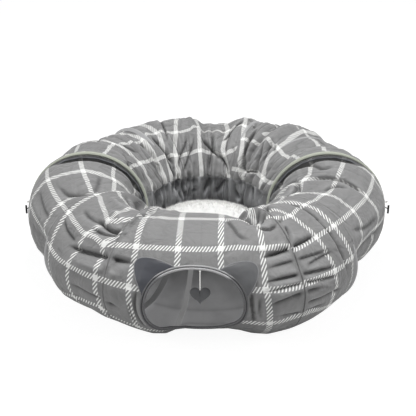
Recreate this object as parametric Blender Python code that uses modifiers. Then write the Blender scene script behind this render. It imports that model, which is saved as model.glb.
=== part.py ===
"""Donut cat tunnel: two C-shaped fabric halves on wire hoops, zipped into a ring round a plush mat.

Metres, +Z up, floor at z = 0, ring axis on Z, window at the front (-Y), zips at -X and +X.
"""

import math

import bmesh
import bpy
from mathutils import Matrix, Vector

MM = 0.001

# Ring and tunnel
ring_radius = 305 * MM
gate_radius = 150 * MM
tube_half_width = 149.5 * MM
tube_half_height = 132 * MM
rear_half_height = 137 * MM
floor_flat = 4 * MM
fabric = 1.8 * MM
gap = 0.3 * MM
weld = 0.01 * MM

# Cloth folds
sag = 5 * MM
rear_billow = 20 * MM
front_dip = 18 * MM
pleat_front = 0.8 * MM
pleat_side = 2.2 * MM
pleat_rear = 3.4 * MM

# Hoops
hoop_wire = 3.6 * MM

# Zips: each side has two tapes, with teeth on their facing edges
gate_half_gap = 10.5 * MM
tape_set_in = 5.7 * MM
tape_radius = gate_radius - tape_set_in
tape_thickness = 1.2 * MM
teeth_thickness = 3 * MM
teeth_width = 2.8 * MM
teeth_half_gap = 0.8 * MM
zip_clearance = 0.7 * MM

# Zip sliders and pulls
slider_length = 14 * MM
slider_width = 11 * MM
slider_plate = 1.4 * MM
slider_web = 1 * MM
lip_width = 1.3 * MM
lug_thickness = 1.1 * MM
lug_length = 3.6 * MM
pin_radius = 0.6 * MM
eye_radius = 1.9 * MM
pin_clearance = 0.35 * MM
pull_length = 23 * MM
pull_width = 3.8 * MM
pull_thickness = 1.2 * MM
tail_length = 30 * MM
tail_width = 8 * MM
tail_thickness = 1.2 * MM

# Ties on the outer side of each zip: an elastic loop and a toggle on a stub of cord
loop_wire = 2.4 * MM
loop_reach = 11 * MM
loop_width = 10 * MM
tie_offset = 17 * MM
toggle_radius = 2.6 * MM
toggle_length = 22 * MM
toggle_stub_radius = 1.2 * MM
toggle_stub_length = 5 * MM
toggle_drop = 6 * MM

# Window, ears and toy
window_x = -26.5 * MM
window_half_width = 110 * MM
cutter_reach = 80 * MM
rim_radius = 3.5 * MM
ear_thickness = 1.5 * MM
ear_lift = 1.2 * MM
ear_side_bulge = 8 * MM
left_ear_tip_x = -156 * MM
right_ear_tip_x = 105 * MM
toy_x = -15.8 * MM
toy_tab_radius = 1.5 * MM
toy_tab_length = 4 * MM
toy_knot_radius = 2 * MM
toy_string_radius = 1 * MM
toy_string_length = 45 * MM
heart_width = 46 * MM
heart_height = 42 * MM
heart_thickness = 17 * MM

# Mat
mat_slack = 4.5 * MM
mat_radius = ring_radius - tube_half_width - mat_slack
mat_height = 112 * MM
mat_seam_height = 48 * MM
mat_draw_in = 9 * MM
mat_crown = 6 * MM

# Angles in degrees round the ring, counter-clockwise from +X
front_stations = [180, 212, 240, 268, 297, 320, 360]
rear_stations = [180, 156, 129, 98, 67, 36, 0]
window_station_number = 3
gate_reach = 34
steps_per_slot = 5
tie_row = 4
cover_low = -62
cover_high = 167
cover_steps = 14
base_steps = 8

# Middles and reaches of the billow behind and of the dip beside the mat
billow_middle = 51
billow_reach = 15
dip_middle = 289
dip_reach = 9
dip_row = 122
dip_row_reach = 42
rear_middle = 84
rear_reach = 75
rear_ease = 40

# The mat's fullness: smaller shares give a fuller edge
mat_side_share = 0.3
mat_top_share = 0.5

# The window's middle and half height round the tube, in degrees, and its roundness
window_middle = -3
window_half_angle = 39.5
window_roundness_share = 0.93
window_points = 36

# The ears' tips and their top edges' bulge, in degrees round the tube
left_ear_tip = 37
right_ear_tip = 38
ear_bulge = 3.5

# Zip angles in degrees from the inner side, up over the top
zip_steps = 40
teeth_first_step = 1
teeth_last_step = 37
tail_start = -7

PLAID = (0.235, 0.235, 0.232, 1)
BASE = (0.07, 0.07, 0.072, 1)
WIRE = (0.16, 0.16, 0.17, 1)
TAPE = (0.50, 0.52, 0.46, 1)
BLACK = (0.012, 0.012, 0.013, 1)
WHITE = (0.82, 0.82, 0.80, 1)
PIPING = (0.30, 0.30, 0.30, 1)
EAR = (0.15, 0.155, 0.17, 1)
HEART = (0.085, 0.085, 0.09, 1)
PLUSH = (0.86, 0.86, 0.85, 1)


def clear_scene():
    for thing in list(bpy.data.objects):
        bpy.data.objects.remove(thing, do_unlink=True)


clear_scene()
parts = bpy.data.collections.new("donut_cat_tunnel")
cutters = bpy.data.collections.new("cutters")
bpy.context.scene.collection.children.link(parts)
bpy.context.scene.collection.children.link(cutters)


def paint(thing, colour, roughness, metallic=0.0):
    material = bpy.data.materials.new(thing.name)
    material.use_nodes = True
    shader = material.node_tree.nodes["Principled BSDF"]
    shader.inputs["Base Color"].default_value = colour
    shader.inputs["Roughness"].default_value = roughness
    shader.inputs["Metallic"].default_value = metallic
    thing.data.materials.clear()
    thing.data.materials.append(material)


def add(name, data, colour, roughness=0.9, metallic=0.0):
    """Puts a mesh or curve among the parts, with its own material."""
    thing = bpy.data.objects.new(name, data)
    parts.objects.link(thing)
    paint(thing, colour, roughness, metallic)
    return thing


def smooth(share):
    share = min(max(share, 0.0), 1.0)
    return share * share * (3 - 2 * share)


def mix(a, b, share):
    return a + (b - a) * share


def rounded(degrees):
    """A place round the window's outline, as shares of its half sizes."""
    across, up = polar(1, degrees)
    return [math.copysign(abs(part) ** window_roundness_share, part) for part in (across, up)]


def polar(radius, degrees):
    angle = math.radians(degrees)
    return radius * math.cos(angle), radius * math.sin(angle)


# The tunnel's surface


def gate_share(theta):
    """1 at a zipped end, 0 away from it: the ends are round, the rest is lower."""
    away = abs((theta + 90) % 180 - 90)
    return smooth(1 - away / gate_reach)


def half_height(theta):
    rear = smooth((rear_reach - abs(theta - rear_middle)) / rear_ease)
    return mix(mix(tube_half_height, rear_half_height, rear), gate_radius, gate_share(theta))


def tube_centre_height(theta):
    return half_height(theta) - floor_flat


def slot_of(theta):
    """The ends of the slot between hoops that an angle falls in."""
    stations = front_stations if theta >= 180 else rear_stations
    for a, b in zip(stations, stations[1:]):
        if min(a, b) <= theta <= max(a, b):
            return a, b
    return stations[-2:]


def pleat_depth(theta):
    """Small on the taut window panel, larger at the sides and behind."""
    front = smooth(1 - abs(theta - 268.5) / 32)
    rear = smooth((100 - abs(theta - 90)) / 40)
    return mix(mix(pleat_side, pleat_rear, rear), pleat_front, front)


def near(value, middle, reach):
    """1 at the middle, easing to 0 at its reach."""
    return smooth(1 - abs(value - middle) / reach)


def large_fold(theta, phi):
    """The folds that show in the outline, a billow behind and a dip in front, as a depth."""
    billow = rear_billow * near(theta, billow_middle, billow_reach)
    billow *= max(math.sin(math.radians(phi)), 0)
    dip = front_dip * near(theta, dip_middle, dip_reach) * near(phi, dip_row, dip_row_reach)
    return dip - billow


def fold(theta, phi):
    """How far the cloth lies inside the line between its hoops."""
    a, b = slot_of(theta)
    share = (theta - a) / (b - a)
    lift = math.sin(math.radians(phi))
    free = smooth((lift + 0.85) / 0.5)
    inner = 0.5 - 0.5 * math.cos(math.radians(phi))
    swell = math.sin(math.pi * share)
    wave = math.cos(math.pi * steps_per_slot * share)
    slack = sag * swell * (0.45 + 0.55 * inner) * (0.35 if 240 < theta < 297 else 1)
    pleats = pleat_depth(theta) * (0.4 + 0.6 * inner) * wave * swell
    return free * (slack + pleats) + large_fold(theta, phi)


def skin(theta, phi, depth=0.0):
    """A point of the cloth, depth inside its outer face, at angles round the ring and tube."""
    across, up = polar(1, phi)
    depth_here = depth + fold(theta, phi)
    width = mix(tube_half_width, gate_radius, gate_share(theta)) - depth_here
    height = half_height(theta) - depth_here
    x, y = polar(ring_radius + width * across, theta)
    z = max(tube_centre_height(theta) + height * up, depth)
    # A zipped end is flat and stands back from the other half, and its last slot leads up to it
    a, b = slot_of(theta)
    for gate, other in ((a, b), (b, a)):
        if gate % 180 == 0:
            share = 1 - (theta - gate) / (other - gate)
            y -= gate_half_gap * share * share * math.copysign(1, max(a, b) - 181)
    return Vector((x, y, z))


def skin_in_slot(a, b, share, phi, depth):
    """skin(), with the side of a shared zipped end settled by the slot it belongs to."""
    edge = math.degrees(gap / 2 / ring_radius) * math.copysign(1, b - a)
    inset_a = 0 if a % 180 == 0 else edge
    inset_b = 0 if b % 180 == 0 else edge
    theta = mix(a + inset_a, b - inset_b, share)
    point = skin(theta, phi, depth)
    if theta % 180 == 0:
        front = max(a, b) > 180
        point.y = -gate_half_gap if front else gate_half_gap
    return point


def loft(name, sections, colour, closed=False, strip=False, roughness=0.9, metallic=0.0):
    """Skins a row of like sections. strip closes the ends of a thin shell's sections."""
    count = len(sections[0])
    verts = [point for section in sections for point in section]
    faces = []
    rows = len(sections)
    for row in range(rows if closed else rows - 1):
        here = row * count
        there = (row + 1) % rows * count
        for k in range(count):
            after = (k + 1) % count
            faces.append((here + k, here + after, there + after, there + k))
    if not closed:
        for first, turn in ((0, 1), ((rows - 1) * count, -1)):
            if strip:
                for k in range(count // 2 - 1):
                    ring = (first + k, first + count - 1 - k, first + count - 2 - k, first + k + 1)
                    faces.append(ring[::turn])
            else:
                faces.append(tuple(first + k for k in range(count))[::-turn])
    mesh = bpy.data.meshes.new(name)
    mesh.from_pydata(verts, [], faces)
    work = bmesh.new()
    work.from_mesh(mesh)
    bmesh.ops.recalc_face_normals(work, faces=work.faces)
    work.to_mesh(mesh)
    work.free()
    mesh.shade_smooth()
    mesh.set_sharp_from_angle(angle=math.radians(50))
    return add(name, mesh, colour, roughness, metallic)


def panel(name, a, b, low, high, steps, colour):
    """One slot's cloth from angle low to angle high round the tube, as a thin shell."""
    edge = math.degrees(gap / 2 / tube_half_height)
    angles = [mix(low, high, k / steps) for k in range(steps + 1)]
    angles[0] += edge
    angles[-1] -= edge
    sections = []
    for step in range(steps_per_slot + 1):
        share = step / steps_per_slot
        outer = [skin_in_slot(a, b, share, phi, 0) for phi in angles]
        inner = [skin_in_slot(a, b, share, phi, fabric) for phi in reversed(angles)]
        sections.append(outer + inner)
    return loft(name, sections, colour, strip=True)


def round_line(name, points, radius, colour, closed=False, detail=1, roughness=0.6, metallic=0.0):
    """A wire, cord or piping along points."""
    curve = bpy.data.curves.new(name, "CURVE")
    curve.dimensions = "3D"
    curve.bevel_depth = radius
    curve.bevel_resolution = detail
    curve.use_fill_caps = not closed
    spline = curve.splines.new("POLY")
    spline.points.add(len(points) - 1)
    for place, point in zip(spline.points, points):
        place.co = (*point, 1)
    spline.use_cyclic_u = closed
    return add(name, curve, colour, roughness, metallic)


def tube_angles():
    cover = [mix(cover_low, cover_high, k / cover_steps) for k in range(cover_steps)]
    base = [mix(cover_high, cover_low + 360, k / base_steps) for k in range(base_steps)]
    return cover + base


def hoop(name, theta, side=0):
    """A wire hoop just inside the cloth. side is -1 or 1 at a zipped end, for its half."""
    depth = fabric + (3 * gap if side else gap) + hoop_wire / 2
    points = []
    for phi in tube_angles():
        point = skin(theta, phi, depth)
        if side:
            point.y = side * (gate_half_gap + hoop_wire / 2)
        points.append(point)
    return round_line(name, points, hoop_wire / 2, WIRE, closed=True, roughness=0.4, metallic=0.8)


def make_chain(half, stations):
    """The cloth and hoops of one half."""
    side = -1 if half == "front" else 1
    number = 0
    for k, theta in enumerate(stations):
        if k == 0:
            hoop(f"hoop_{half}_left", theta, side)
        elif k == len(stations) - 1:
            hoop(f"hoop_{half}_right", theta, side)
        elif half == "rear" or k != window_station_number:
            number += 1
            hoop(f"hoop_{half}_{number}", theta)
    for k, (a, b) in enumerate(zip(stations, stations[1:])):
        panel(f"cover_{half}_{k + 1}", a, b, cover_low, cover_high, cover_steps, PLAID)
        panel(f"base_{half}_{k + 1}", a, b, cover_high, cover_low + 360, base_steps, BASE)


# The window and what is sewn round it


def on_front(x, phi, depth=0.0):
    """A point of the front wall, found by its x."""
    radius = ring_radius + (tube_half_width - depth) * math.cos(math.radians(phi))
    theta = 270 + math.degrees(math.asin(x / radius))
    return skin(theta, phi, depth)


def window_outline(grow, depth):
    """Points round the window's rim line, grown by a length."""
    grow_angle = math.degrees(grow / tube_half_height)
    points = []
    for k in range(window_points):
        across, up = rounded(360 * k / window_points)
        x = window_x + (window_half_width + grow) * across
        phi = window_middle + (window_half_angle + grow_angle) * up
        points.append(on_front(x, phi, depth))
    return points


def make_window():
    round_line("window_rim", window_outline(0, fabric / 2), rim_radius, PIPING, closed=True)
    grow = rim_radius + 2 * gap
    outline = [window_outline(grow, depth) for depth in (-cutter_reach, 0, cutter_reach / 4)]
    cutter = loft("window_cutter", outline, PIPING)
    parts.objects.unlink(cutter)
    cutters.objects.link(cutter)
    cutter.hide_render = True
    cutter.display_type = "WIRE"
    for number in (window_station_number, window_station_number + 1):
        cover = bpy.data.objects[f"cover_front_{number}"]
        cut = cover.modifiers.new("window", "BOOLEAN")
        cut.operation = "DIFFERENCE"
        cut.solver = "EXACT"
        cut.object = cutter


def ear(name, corner, tip, end):
    """A flap from a corner by the window's top, out to its tip, and back to the rim at its side.

    Each place is (x, angle round the tube). The flap is a fan of rows between the window's side
    and its own free edge.
    """
    rows = 6
    columns = 5
    sections = []
    for row in range(rows + 1):
        share = row / rows
        seam = window_seam(corner, end, share)
        free = free_edge(corner, tip, end, share)
        outer = []
        inner = []
        for column in range(columns + 1):
            across = column / columns
            x = mix(seam[0], free[0], across)
            phi = mix(seam[1], free[1], across)
            outer.append(on_front(x, phi, -ear_lift - ear_thickness))
            inner.append(on_front(x, phi, -ear_lift))
        sections.append(outer + inner[::-1])
    return loft(name, sections, EAR, strip=True)


def window_seam(corner, end, share):
    """A place just outside the rim, between two of its angles in degrees."""
    across, up = rounded(mix(corner, end, share))
    grow = rim_radius + 2 * ear_lift
    x = window_x + (window_half_width + grow) * across
    return x, window_middle + (window_half_angle + math.degrees(grow / tube_half_height)) * up


def free_edge(corner, tip, end, share):
    """The ear's free edge: up to the rounded tip, then down its side."""
    start = window_seam(corner, end, 0.02)
    stop = window_seam(corner, end, 0.98)
    bend = 0.56
    if share < bend:
        part = share / bend
        x = mix(start[0], tip[0], part)
        phi = mix(start[1], tip[1], part) + ear_bulge * math.sin(math.pi * part)
    else:
        part = (share - bend) / (1 - bend)
        x = mix(tip[0], stop[0], part)
        x += math.copysign(ear_side_bulge, tip[0] - window_x) * math.sin(math.pi * part)
        phi = mix(tip[1], stop[1], part)
    return x, phi


def make_ears():
    ear("ear_left", 116, (left_ear_tip_x, left_ear_tip), 166)
    ear("ear_right", 60, (right_ear_tip_x, right_ear_tip), 12)


def ball(name, centre, radius, colour):
    mesh = bpy.data.meshes.new(name)
    work = bmesh.new()
    bmesh.ops.create_uvsphere(work, u_segments=8, v_segments=6, radius=radius)
    work.to_mesh(mesh)
    work.free()
    mesh.shade_smooth()
    thing = add(name, mesh, colour)
    thing.location = centre
    return thing


def make_toy():
    """A tab under the rim, a knot that swings in it, and a heart on a string."""
    top = on_front(toy_x, window_middle + window_half_angle, fabric / 2)
    z = top.z - rim_radius - 2 * gap
    round_line("toy_tab", [(top.x, top.y, z), (top.x, top.y, z - toy_tab_length)],
               toy_tab_radius, PIPING)
    z -= toy_tab_length + gap + toy_knot_radius
    ball("toy_knot", (top.x, top.y, z), toy_knot_radius, WHITE)
    z -= toy_knot_radius + gap
    places = [(top.x, top.y, z - toy_string_length * k / 6) for k in range(7)]
    round_line("toy_string", places, toy_string_radius, WHITE, detail=2)
    # The string ends where the notch between the heart's lobes is just wider than it
    seat = math.asin((2 * (toy_string_radius + gap) / heart_width) ** (1 / 3))
    heart = plush_heart("toy_heart")
    notch_z = z - toy_string_length - heart_outline(seat)[1] * heart_height
    heart.location = (top.x, top.y, notch_z)


def heart_outline(turn):
    """A heart of width 1 and height 1, its notch at the origin and its tip below."""
    side = math.sin(turn) ** 3
    lift = 13 * math.cos(turn) - 5 * math.cos(2 * turn)
    lift -= 2 * math.cos(3 * turn) + math.cos(4 * turn)
    notch = 13 - 5 - 2 - 1
    return side / 2, (lift - notch) / 29


def plush_heart(name):
    """A stuffed heart, thick in the middle and thin at its seam, its notch at the origin."""
    around = 22
    layers = 6
    middle = -0.42
    sections = []
    for layer in range(1, layers):
        turn = math.pi * layer / layers
        size = math.sin(turn)
        depth = -heart_thickness / 2 * math.cos(turn)
        ring = []
        for k in range(around):
            x, z = heart_outline(2 * math.pi * k / around)
            z = middle + (z - middle) * size
            ring.append(Vector((x * size * heart_width, depth, z * heart_height)))
        sections.append(ring)
    return loft(name, sections, HEART)


# Zips


def zip_profile(side, thick):
    """One tape's section as (y, radius), with its teeth at the edge nearest the middle."""
    edge = gate_half_gap - gap
    teeth_out = teeth_half_gap + teeth_width
    half = mix(tape_thickness, teeth_thickness, thick) / 2
    flat = tape_thickness / 2
    return [
        (side * edge, tape_radius - flat),
        (side * edge, tape_radius + flat),
        (side * teeth_out, tape_radius + flat),
        (side * teeth_half_gap, tape_radius + half),
        (side * teeth_half_gap, tape_radius - half),
        (side * teeth_out, tape_radius - flat),
    ]


def gate_point(way, degrees, radius, y):
    """A place on a zip. way is 1 for the zip at -X, whose inner side faces +X, and -1 for +X."""
    across, up = polar(radius, degrees)
    return Vector((way * (across - ring_radius), y, gate_radius - floor_flat + up))


def zip_tape(name, way, side):
    sections = []
    for step in range(zip_steps):
        thick = 1 if teeth_first_step <= step <= teeth_last_step else 0
        profile = zip_profile(side, thick)
        sections.append([gate_point(way, 360 * step / zip_steps, r, y) for y, r in profile])
    return loft(name, sections, TAPE, closed=True, roughness=0.7)


def zip_tail(name, way):
    """The white end of the tape, stitched flat over the front half's tape below the slider."""
    turn = math.degrees(tail_length / tape_radius)
    inner = tape_radius + tape_thickness / 2 + gap
    near = teeth_half_gap
    far = near + tail_width
    sections = []
    for step in range(4):
        angle = tail_start - turn * step / 3
        spots = [(-near, inner), (-near, inner + tail_thickness)]
        spots += [(-far, inner + tail_thickness), (-far, inner)]
        sections.append([gate_point(way, angle, r, y) for y, r in spots])
    return loft(name, sections, WHITE)


def box(name, low, high):
    """A closed box between two corners, in its own object's frame."""
    mesh = bpy.data.meshes.new(name)
    work = bmesh.new()
    bmesh.ops.create_cube(work, size=1)
    for vert in work.verts:
        vert.co = Vector(mix(a, b, c + 0.5) for a, b, c in zip(low, high, vert.co))
    work.to_mesh(mesh)
    work.free()
    return add(name, mesh, BLACK, 0.35, 0.6)


def fuse(name, pieces):
    """Joins overlapping pieces into one body."""
    first = pieces[0]
    for other in pieces[1:]:
        union = first.modifiers.new("union", "BOOLEAN")
        union.operation = "UNION"
        union.solver = "EXACT"
        union.object = other
    bpy.context.view_layer.update()
    seen = first.evaluated_get(bpy.context.evaluated_depsgraph_get())
    mesh = bpy.data.meshes.new_from_object(seen)
    for piece in pieces:
        bpy.data.objects.remove(piece, do_unlink=True)
    mesh.name = name
    return add(name, mesh, BLACK, 0.35, 0.6)


def slider_faces():
    """Half height of the slider's channel, of its outside, and its pin's height over the tape."""
    channel = teeth_thickness / 2 + zip_clearance
    outside = channel + slider_plate
    return channel, outside, outside + gap + eye_radius


def zip_slider(name):
    """Two plates with lips over the tapes, a web between the teeth, and lugs with a pin.

    Made lying flat: X along the zip, Y across it, Z out from the tape.
    """
    half_length = slider_length / 2
    half_width = slider_width / 2
    channel, outside, pin_height = slider_faces()
    slot = tape_thickness / 2 + zip_clearance
    nose = slider_length / 5
    pieces = []
    for face in (1, -1):
        low, high = sorted((face * channel, face * outside))
        taper = box("plate", (-half_length, -half_width, low), (half_length, half_width, high))
        for vert in taper.data.vertices:
            if vert.co.x < 0:
                vert.co.y *= 1 - nose / slider_length
        pieces.append(taper)
        low, high = sorted((face * slot, face * (channel + slider_plate / 2)))
        for side in (1, -1):
            near, far = sorted((side * (half_width - lip_width), side * half_width))
            pieces.append(box("lip", (0, near, low), (half_length, far, high)))
    pieces.append(box("web", (0, -slider_web / 2, -channel - slider_plate / 2),
                      (nose, slider_web / 2, channel + slider_plate / 2)))
    inside = pull_width / 2 + gap
    for side in (1, -1):
        near, far = sorted((side * inside, side * (inside + lug_thickness)))
        top = pin_height + 2 * pin_radius
        pieces.append(box("lug", (-lug_length / 2, near, channel + slider_plate / 2),
                          (lug_length / 2, far, top)))
    rod_half = inside + lug_thickness / 2
    pieces.append(box("pin", (-pin_radius, -rod_half, pin_height - pin_radius),
                      (pin_radius, rod_half, pin_height + pin_radius)))
    return fuse(name, pieces)


def zip_pull(name):
    """A flat tab with an eye, lying along -X from the slider's pin."""
    half = pull_thickness / 2
    leave = math.asin(half / eye_radius)
    around = 12
    ring = []
    for k in range(around + 1):
        turn = math.pi + leave + (2 * math.pi - 2 * leave) * k / around
        ring.append((eye_radius * math.cos(turn), eye_radius * math.sin(turn)))
    tab = [(-pull_length, half), (-pull_length, -half)]
    hole_radius = math.hypot(pin_radius, pin_radius) + pin_clearance
    hole = [polar(hole_radius, 360 * k / 10) for k in range(10)]
    return extruded(name, (ring + tab, hole), pull_width / 2)


def as_mesh(thing):
    """A curve's closed mesh, with its caps welded on. The curve is removed."""
    bpy.context.view_layer.update()
    seen = thing.evaluated_get(bpy.context.evaluated_depsgraph_get())
    mesh = bpy.data.meshes.new_from_object(seen)
    work = bmesh.new()
    work.from_mesh(mesh)
    bmesh.ops.remove_doubles(work, verts=work.verts, dist=weld)
    work.to_mesh(mesh)
    work.free()
    bpy.data.objects.remove(thing, do_unlink=True)
    return mesh


def extruded(name, loops, half):
    """A flat outline in X and Z with its holes, extruded to both sides along Y."""
    curve = bpy.data.curves.new(name, "CURVE")
    curve.dimensions = "2D"
    curve.fill_mode = "BOTH"
    curve.extrude = half
    for points in loops:
        spline = curve.splines.new("POLY")
        spline.points.add(len(points) - 1)
        for place, (x, z) in zip(spline.points, points):
            place.co = (x, z, 0, 1)
        spline.use_cyclic_u = True
    mesh = as_mesh(add(name, curve, BLACK))
    for vert in mesh.vertices:
        x, z, y = vert.co
        vert.co = (x, -y, z)
    mesh.name = name
    return add(name, mesh, BLACK, 0.35, 0.6)


def place_on_zip(thing, way, height):
    """Stands a piece made lying flat on the zip's inner side, with its +X turned up."""
    out = Vector((way, 0, 0))
    along = Vector((0, 0, 1))
    across = out.cross(along)
    turn = Matrix((along, across, out)).transposed().to_4x4()
    place = gate_point(way, 0, tape_radius + height, 0)
    thing.matrix_world = Matrix.Translation(place) @ turn


def make_zip(where, way):
    for side, half in ((-1, "front"), (1, "rear")):
        zip_tape(f"zip_tape_{half}_{where}", way, side)
    zip_tail(f"zip_tail_{where}", way)
    slider = zip_slider(f"zip_slider_{where}")
    place_on_zip(slider, way, 0)
    pull = zip_pull(f"zip_pull_{where}")
    place_on_zip(pull, way, slider_faces()[2])


# Ties


def outer_side(way, y, out, drop=0.0):
    """A place out from the cloth's outer side by a zip, and drop below its tie's seam."""
    turn = math.degrees((abs(y) - gate_half_gap) / (ring_radius + gate_radius))
    if way == 1:
        theta = 180 - math.copysign(turn, y)
    else:
        theta = turn if y > 0 else 360 - turn
    seam = mix(cover_low, cover_high, tie_row / cover_steps)
    return skin(theta, seam) - Vector((way * out, 0, drop))


def make_ties(where, way):
    """An elastic loop on the rear half and a toggle on the front half, by the zip's outer side."""
    loop = []
    for k in range(9):
        turn = math.pi * k / 8
        out = gap + loop_reach * math.sin(turn)
        loop.append(outer_side(way, tie_offset - loop_width / 2 * math.cos(turn), out))
    round_line(f"tie_loop_{where}", loop, loop_wire / 2, WHITE)
    start = outer_side(way, -tie_offset, gap + toggle_stub_radius / 2)
    end = start - Vector((way * (toggle_stub_length + toggle_radius), 0, toggle_drop))
    stub = tube_mesh([start, end], toggle_stub_radius)
    half = toggle_length / 2
    bar = tube_mesh([end - Vector((0, 0, half)), end + Vector((0, 0, half))], toggle_radius)
    fuse(f"tie_toggle_{where}", [bar, stub])


def tube_mesh(points, radius):
    """A straight round bar as a mesh, so that it can be joined to others."""
    return add("bar", as_mesh(round_line("bar", points, radius, BLACK)), BLACK)


# Mat


def turned(name, profile, colour):
    """A profile from the axis out, down and back to the axis, turned round Z."""
    mesh = bpy.data.meshes.new(name)
    edges = [(k, k + 1) for k in range(len(profile) - 1)]
    mesh.from_pydata([(r, 0, z) for r, z in profile], edges, [])
    thing = add(name, mesh, colour, 1.0)
    screw = thing.modifiers.new("turn", "SCREW")
    screw.steps = 28
    screw.render_steps = 28
    screw.use_merge_vertices = True
    screw.merge_threshold = 0.1 * MM
    return thing


def make_mat():
    """A round cushion: a plush top with its crown, and a plain base, meeting at a seam."""
    seam = mat_radius - mat_draw_in
    bulge = 6
    top = [(0, mat_height)]
    for k in range(1, bulge + 1):
        out, up = polar(1, 90 - 90 * k / bulge)
        r = mat_radius * out ** mat_side_share
        crown = mat_height - mat_crown * out * out * out
        z = mix(mat_seam_height + mat_draw_in, crown, up ** mat_top_share)
        top.append((r, z))
    top.append((seam, mat_seam_height + gap / 2))
    top.append((0, mat_seam_height + gap / 2))
    turned("mat_plush", top, PLUSH)
    low = mat_seam_height - gap / 2
    base = [(0, low), (seam, low)]
    for k in range(1, bulge):
        out, up = polar(1, 90 - 180 * k / bulge)
        base.append((seam + mat_draw_in * out, mix(0, low, (up + 1) / 2)))
    base.append((seam - mat_draw_in, 0))
    base.append((0, 0))
    turned("mat_base", base, BASE)


def main():
    make_chain("front", front_stations)
    make_chain("rear", rear_stations)
    make_window()
    make_ears()
    make_toy()
    for where, way in (("left", 1), ("right", -1)):
        make_zip(where, way)
        make_ties(where, way)
    make_mat()


main()
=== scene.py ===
import math

import bpy
import numpy as np
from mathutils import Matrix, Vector


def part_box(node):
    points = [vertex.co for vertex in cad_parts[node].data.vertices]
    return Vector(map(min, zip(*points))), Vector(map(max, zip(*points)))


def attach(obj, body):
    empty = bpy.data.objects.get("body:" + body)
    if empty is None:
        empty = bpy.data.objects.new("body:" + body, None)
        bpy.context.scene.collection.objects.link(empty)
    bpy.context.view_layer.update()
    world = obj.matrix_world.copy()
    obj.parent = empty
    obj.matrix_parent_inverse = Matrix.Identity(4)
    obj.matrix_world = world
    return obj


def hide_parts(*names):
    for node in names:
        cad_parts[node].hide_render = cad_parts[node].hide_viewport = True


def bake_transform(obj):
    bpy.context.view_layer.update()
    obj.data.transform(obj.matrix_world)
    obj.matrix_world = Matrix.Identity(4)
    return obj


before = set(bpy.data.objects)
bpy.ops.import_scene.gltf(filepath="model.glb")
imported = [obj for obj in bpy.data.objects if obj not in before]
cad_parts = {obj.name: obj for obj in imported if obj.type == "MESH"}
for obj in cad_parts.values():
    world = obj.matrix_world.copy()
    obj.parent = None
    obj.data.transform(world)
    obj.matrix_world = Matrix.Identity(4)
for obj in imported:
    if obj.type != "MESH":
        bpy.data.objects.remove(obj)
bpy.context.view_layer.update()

mm = 0.001
print("frame loaded:", len(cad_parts), "nodes")

cameraFacts = dict(place=(0.0, -2.281, 1.2345), target=(0.0, 0.0, 0.1515), lens=84.9,
                   shiftX=0.0017, shiftY=-0.0058)

def makeCamera():
    data = bpy.data.cameras.new("camera")
    camera = bpy.data.objects.new("camera", data)
    bpy.context.scene.collection.objects.link(camera)
    camera.location = cameraFacts["place"]
    look = Vector(cameraFacts["target"]) - Vector(cameraFacts["place"])
    camera.rotation_euler = look.to_track_quat("-Z", "Y").to_euler()
    data.lens = cameraFacts["lens"]
    data.sensor_width = 36
    data.shift_x = cameraFacts["shiftX"]
    data.shift_y = cameraFacts["shiftY"]
    data.clip_start, data.clip_end = 0.05, 30
    bpy.context.scene.camera = camera

makeCamera()

def smooth(share):  # 0 below 0, 1 above 1, an S curve between
    share = np.clip(share, 0.0, 1.0)
    return share * share * (3 - 2 * share)

def mix(a, b, share):
    return a + (b - a) * share

def sine(degrees):
    return np.sin(np.radians(degrees))

def cosine(degrees):
    return np.cos(np.radians(degrees))

def degreesRound(count):  # even angles round a circle
    return np.linspace(0, 360, count + 1)[:-1]

def lattice(u, v, seed):  # value noise: random heights on a 64 x 64 lattice, eased between its points
    heights = np.random.default_rng(seed).uniform(-1, 1, (64, 64))
    column, row = np.floor(u).astype(int), np.floor(v).astype(int)
    across, up = smooth(u - column), smooth(v - row)
    low = mix(heights[column % 64, row % 64], heights[(column + 1) % 64, row % 64], across)
    high = mix(heights[column % 64, (row + 1) % 64],
               heights[(column + 1) % 64, (row + 1) % 64], across)
    return mix(low, high, up)

def unit(vectors):
    return vectors / np.maximum(np.linalg.norm(vectors, axis=-1, keepdims=True), 1e-12)

def meshFromArrays(name, points, quads, layers, outward=None):
    # points (n, 3), quads (m, 4), layers: UV map name to (n, 2). outward (n, 3) settles which side faces out
    if outward is not None:
        edgeA = points[quads[:, 1]] - points[quads[:, 0]]
        edgeB = points[quads[:, 3]] - points[quads[:, 0]]
        facing = np.einsum("ij,ij->i", np.cross(edgeA, edgeB), outward[quads[:, 0]]).sum()
        if facing < 0:
            quads = quads[:, ::-1]
    mesh = bpy.data.meshes.new(name)
    mesh.vertices.add(len(points))
    mesh.vertices.foreach_set("co", points.astype(np.float32).ravel())
    mesh.loops.add(quads.size)
    mesh.loops.foreach_set("vertex_index", quads.astype(np.int32).ravel())
    mesh.polygons.add(len(quads))
    mesh.polygons.foreach_set("loop_start", np.arange(0, quads.size, 4, dtype=np.int32))
    mesh.update(calc_edges=True)
    mesh.polygons.foreach_set("use_smooth", np.ones(len(quads), bool))
    for layer, values in layers.items():
        made = mesh.uv_layers.new(name=layer)
        made.data.foreach_set("uv", values[quads.ravel()].astype(np.float32).ravel())
    mesh.validate()
    piece = bpy.data.objects.new(name, mesh)
    bpy.context.scene.collection.objects.link(piece)
    return piece

def gridQuads(rows, columns, wrapRows=False, wrapColumns=False, start=0):
    number = start + np.arange(rows * columns).reshape(rows, columns)
    if wrapRows:
        number = np.vstack([number, number[:1]])
    if wrapColumns:
        number = np.hstack([number, number[:, :1]])
    return np.stack([number[:-1, :-1], number[:-1, 1:], number[1:, 1:], number[1:, :-1]],
                    -1).reshape(-1, 4)

def together(*values):  # arrays broadcast to one shape, side by side on a last axis
    return np.stack(np.broadcast_arrays(*values), -1)

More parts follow.
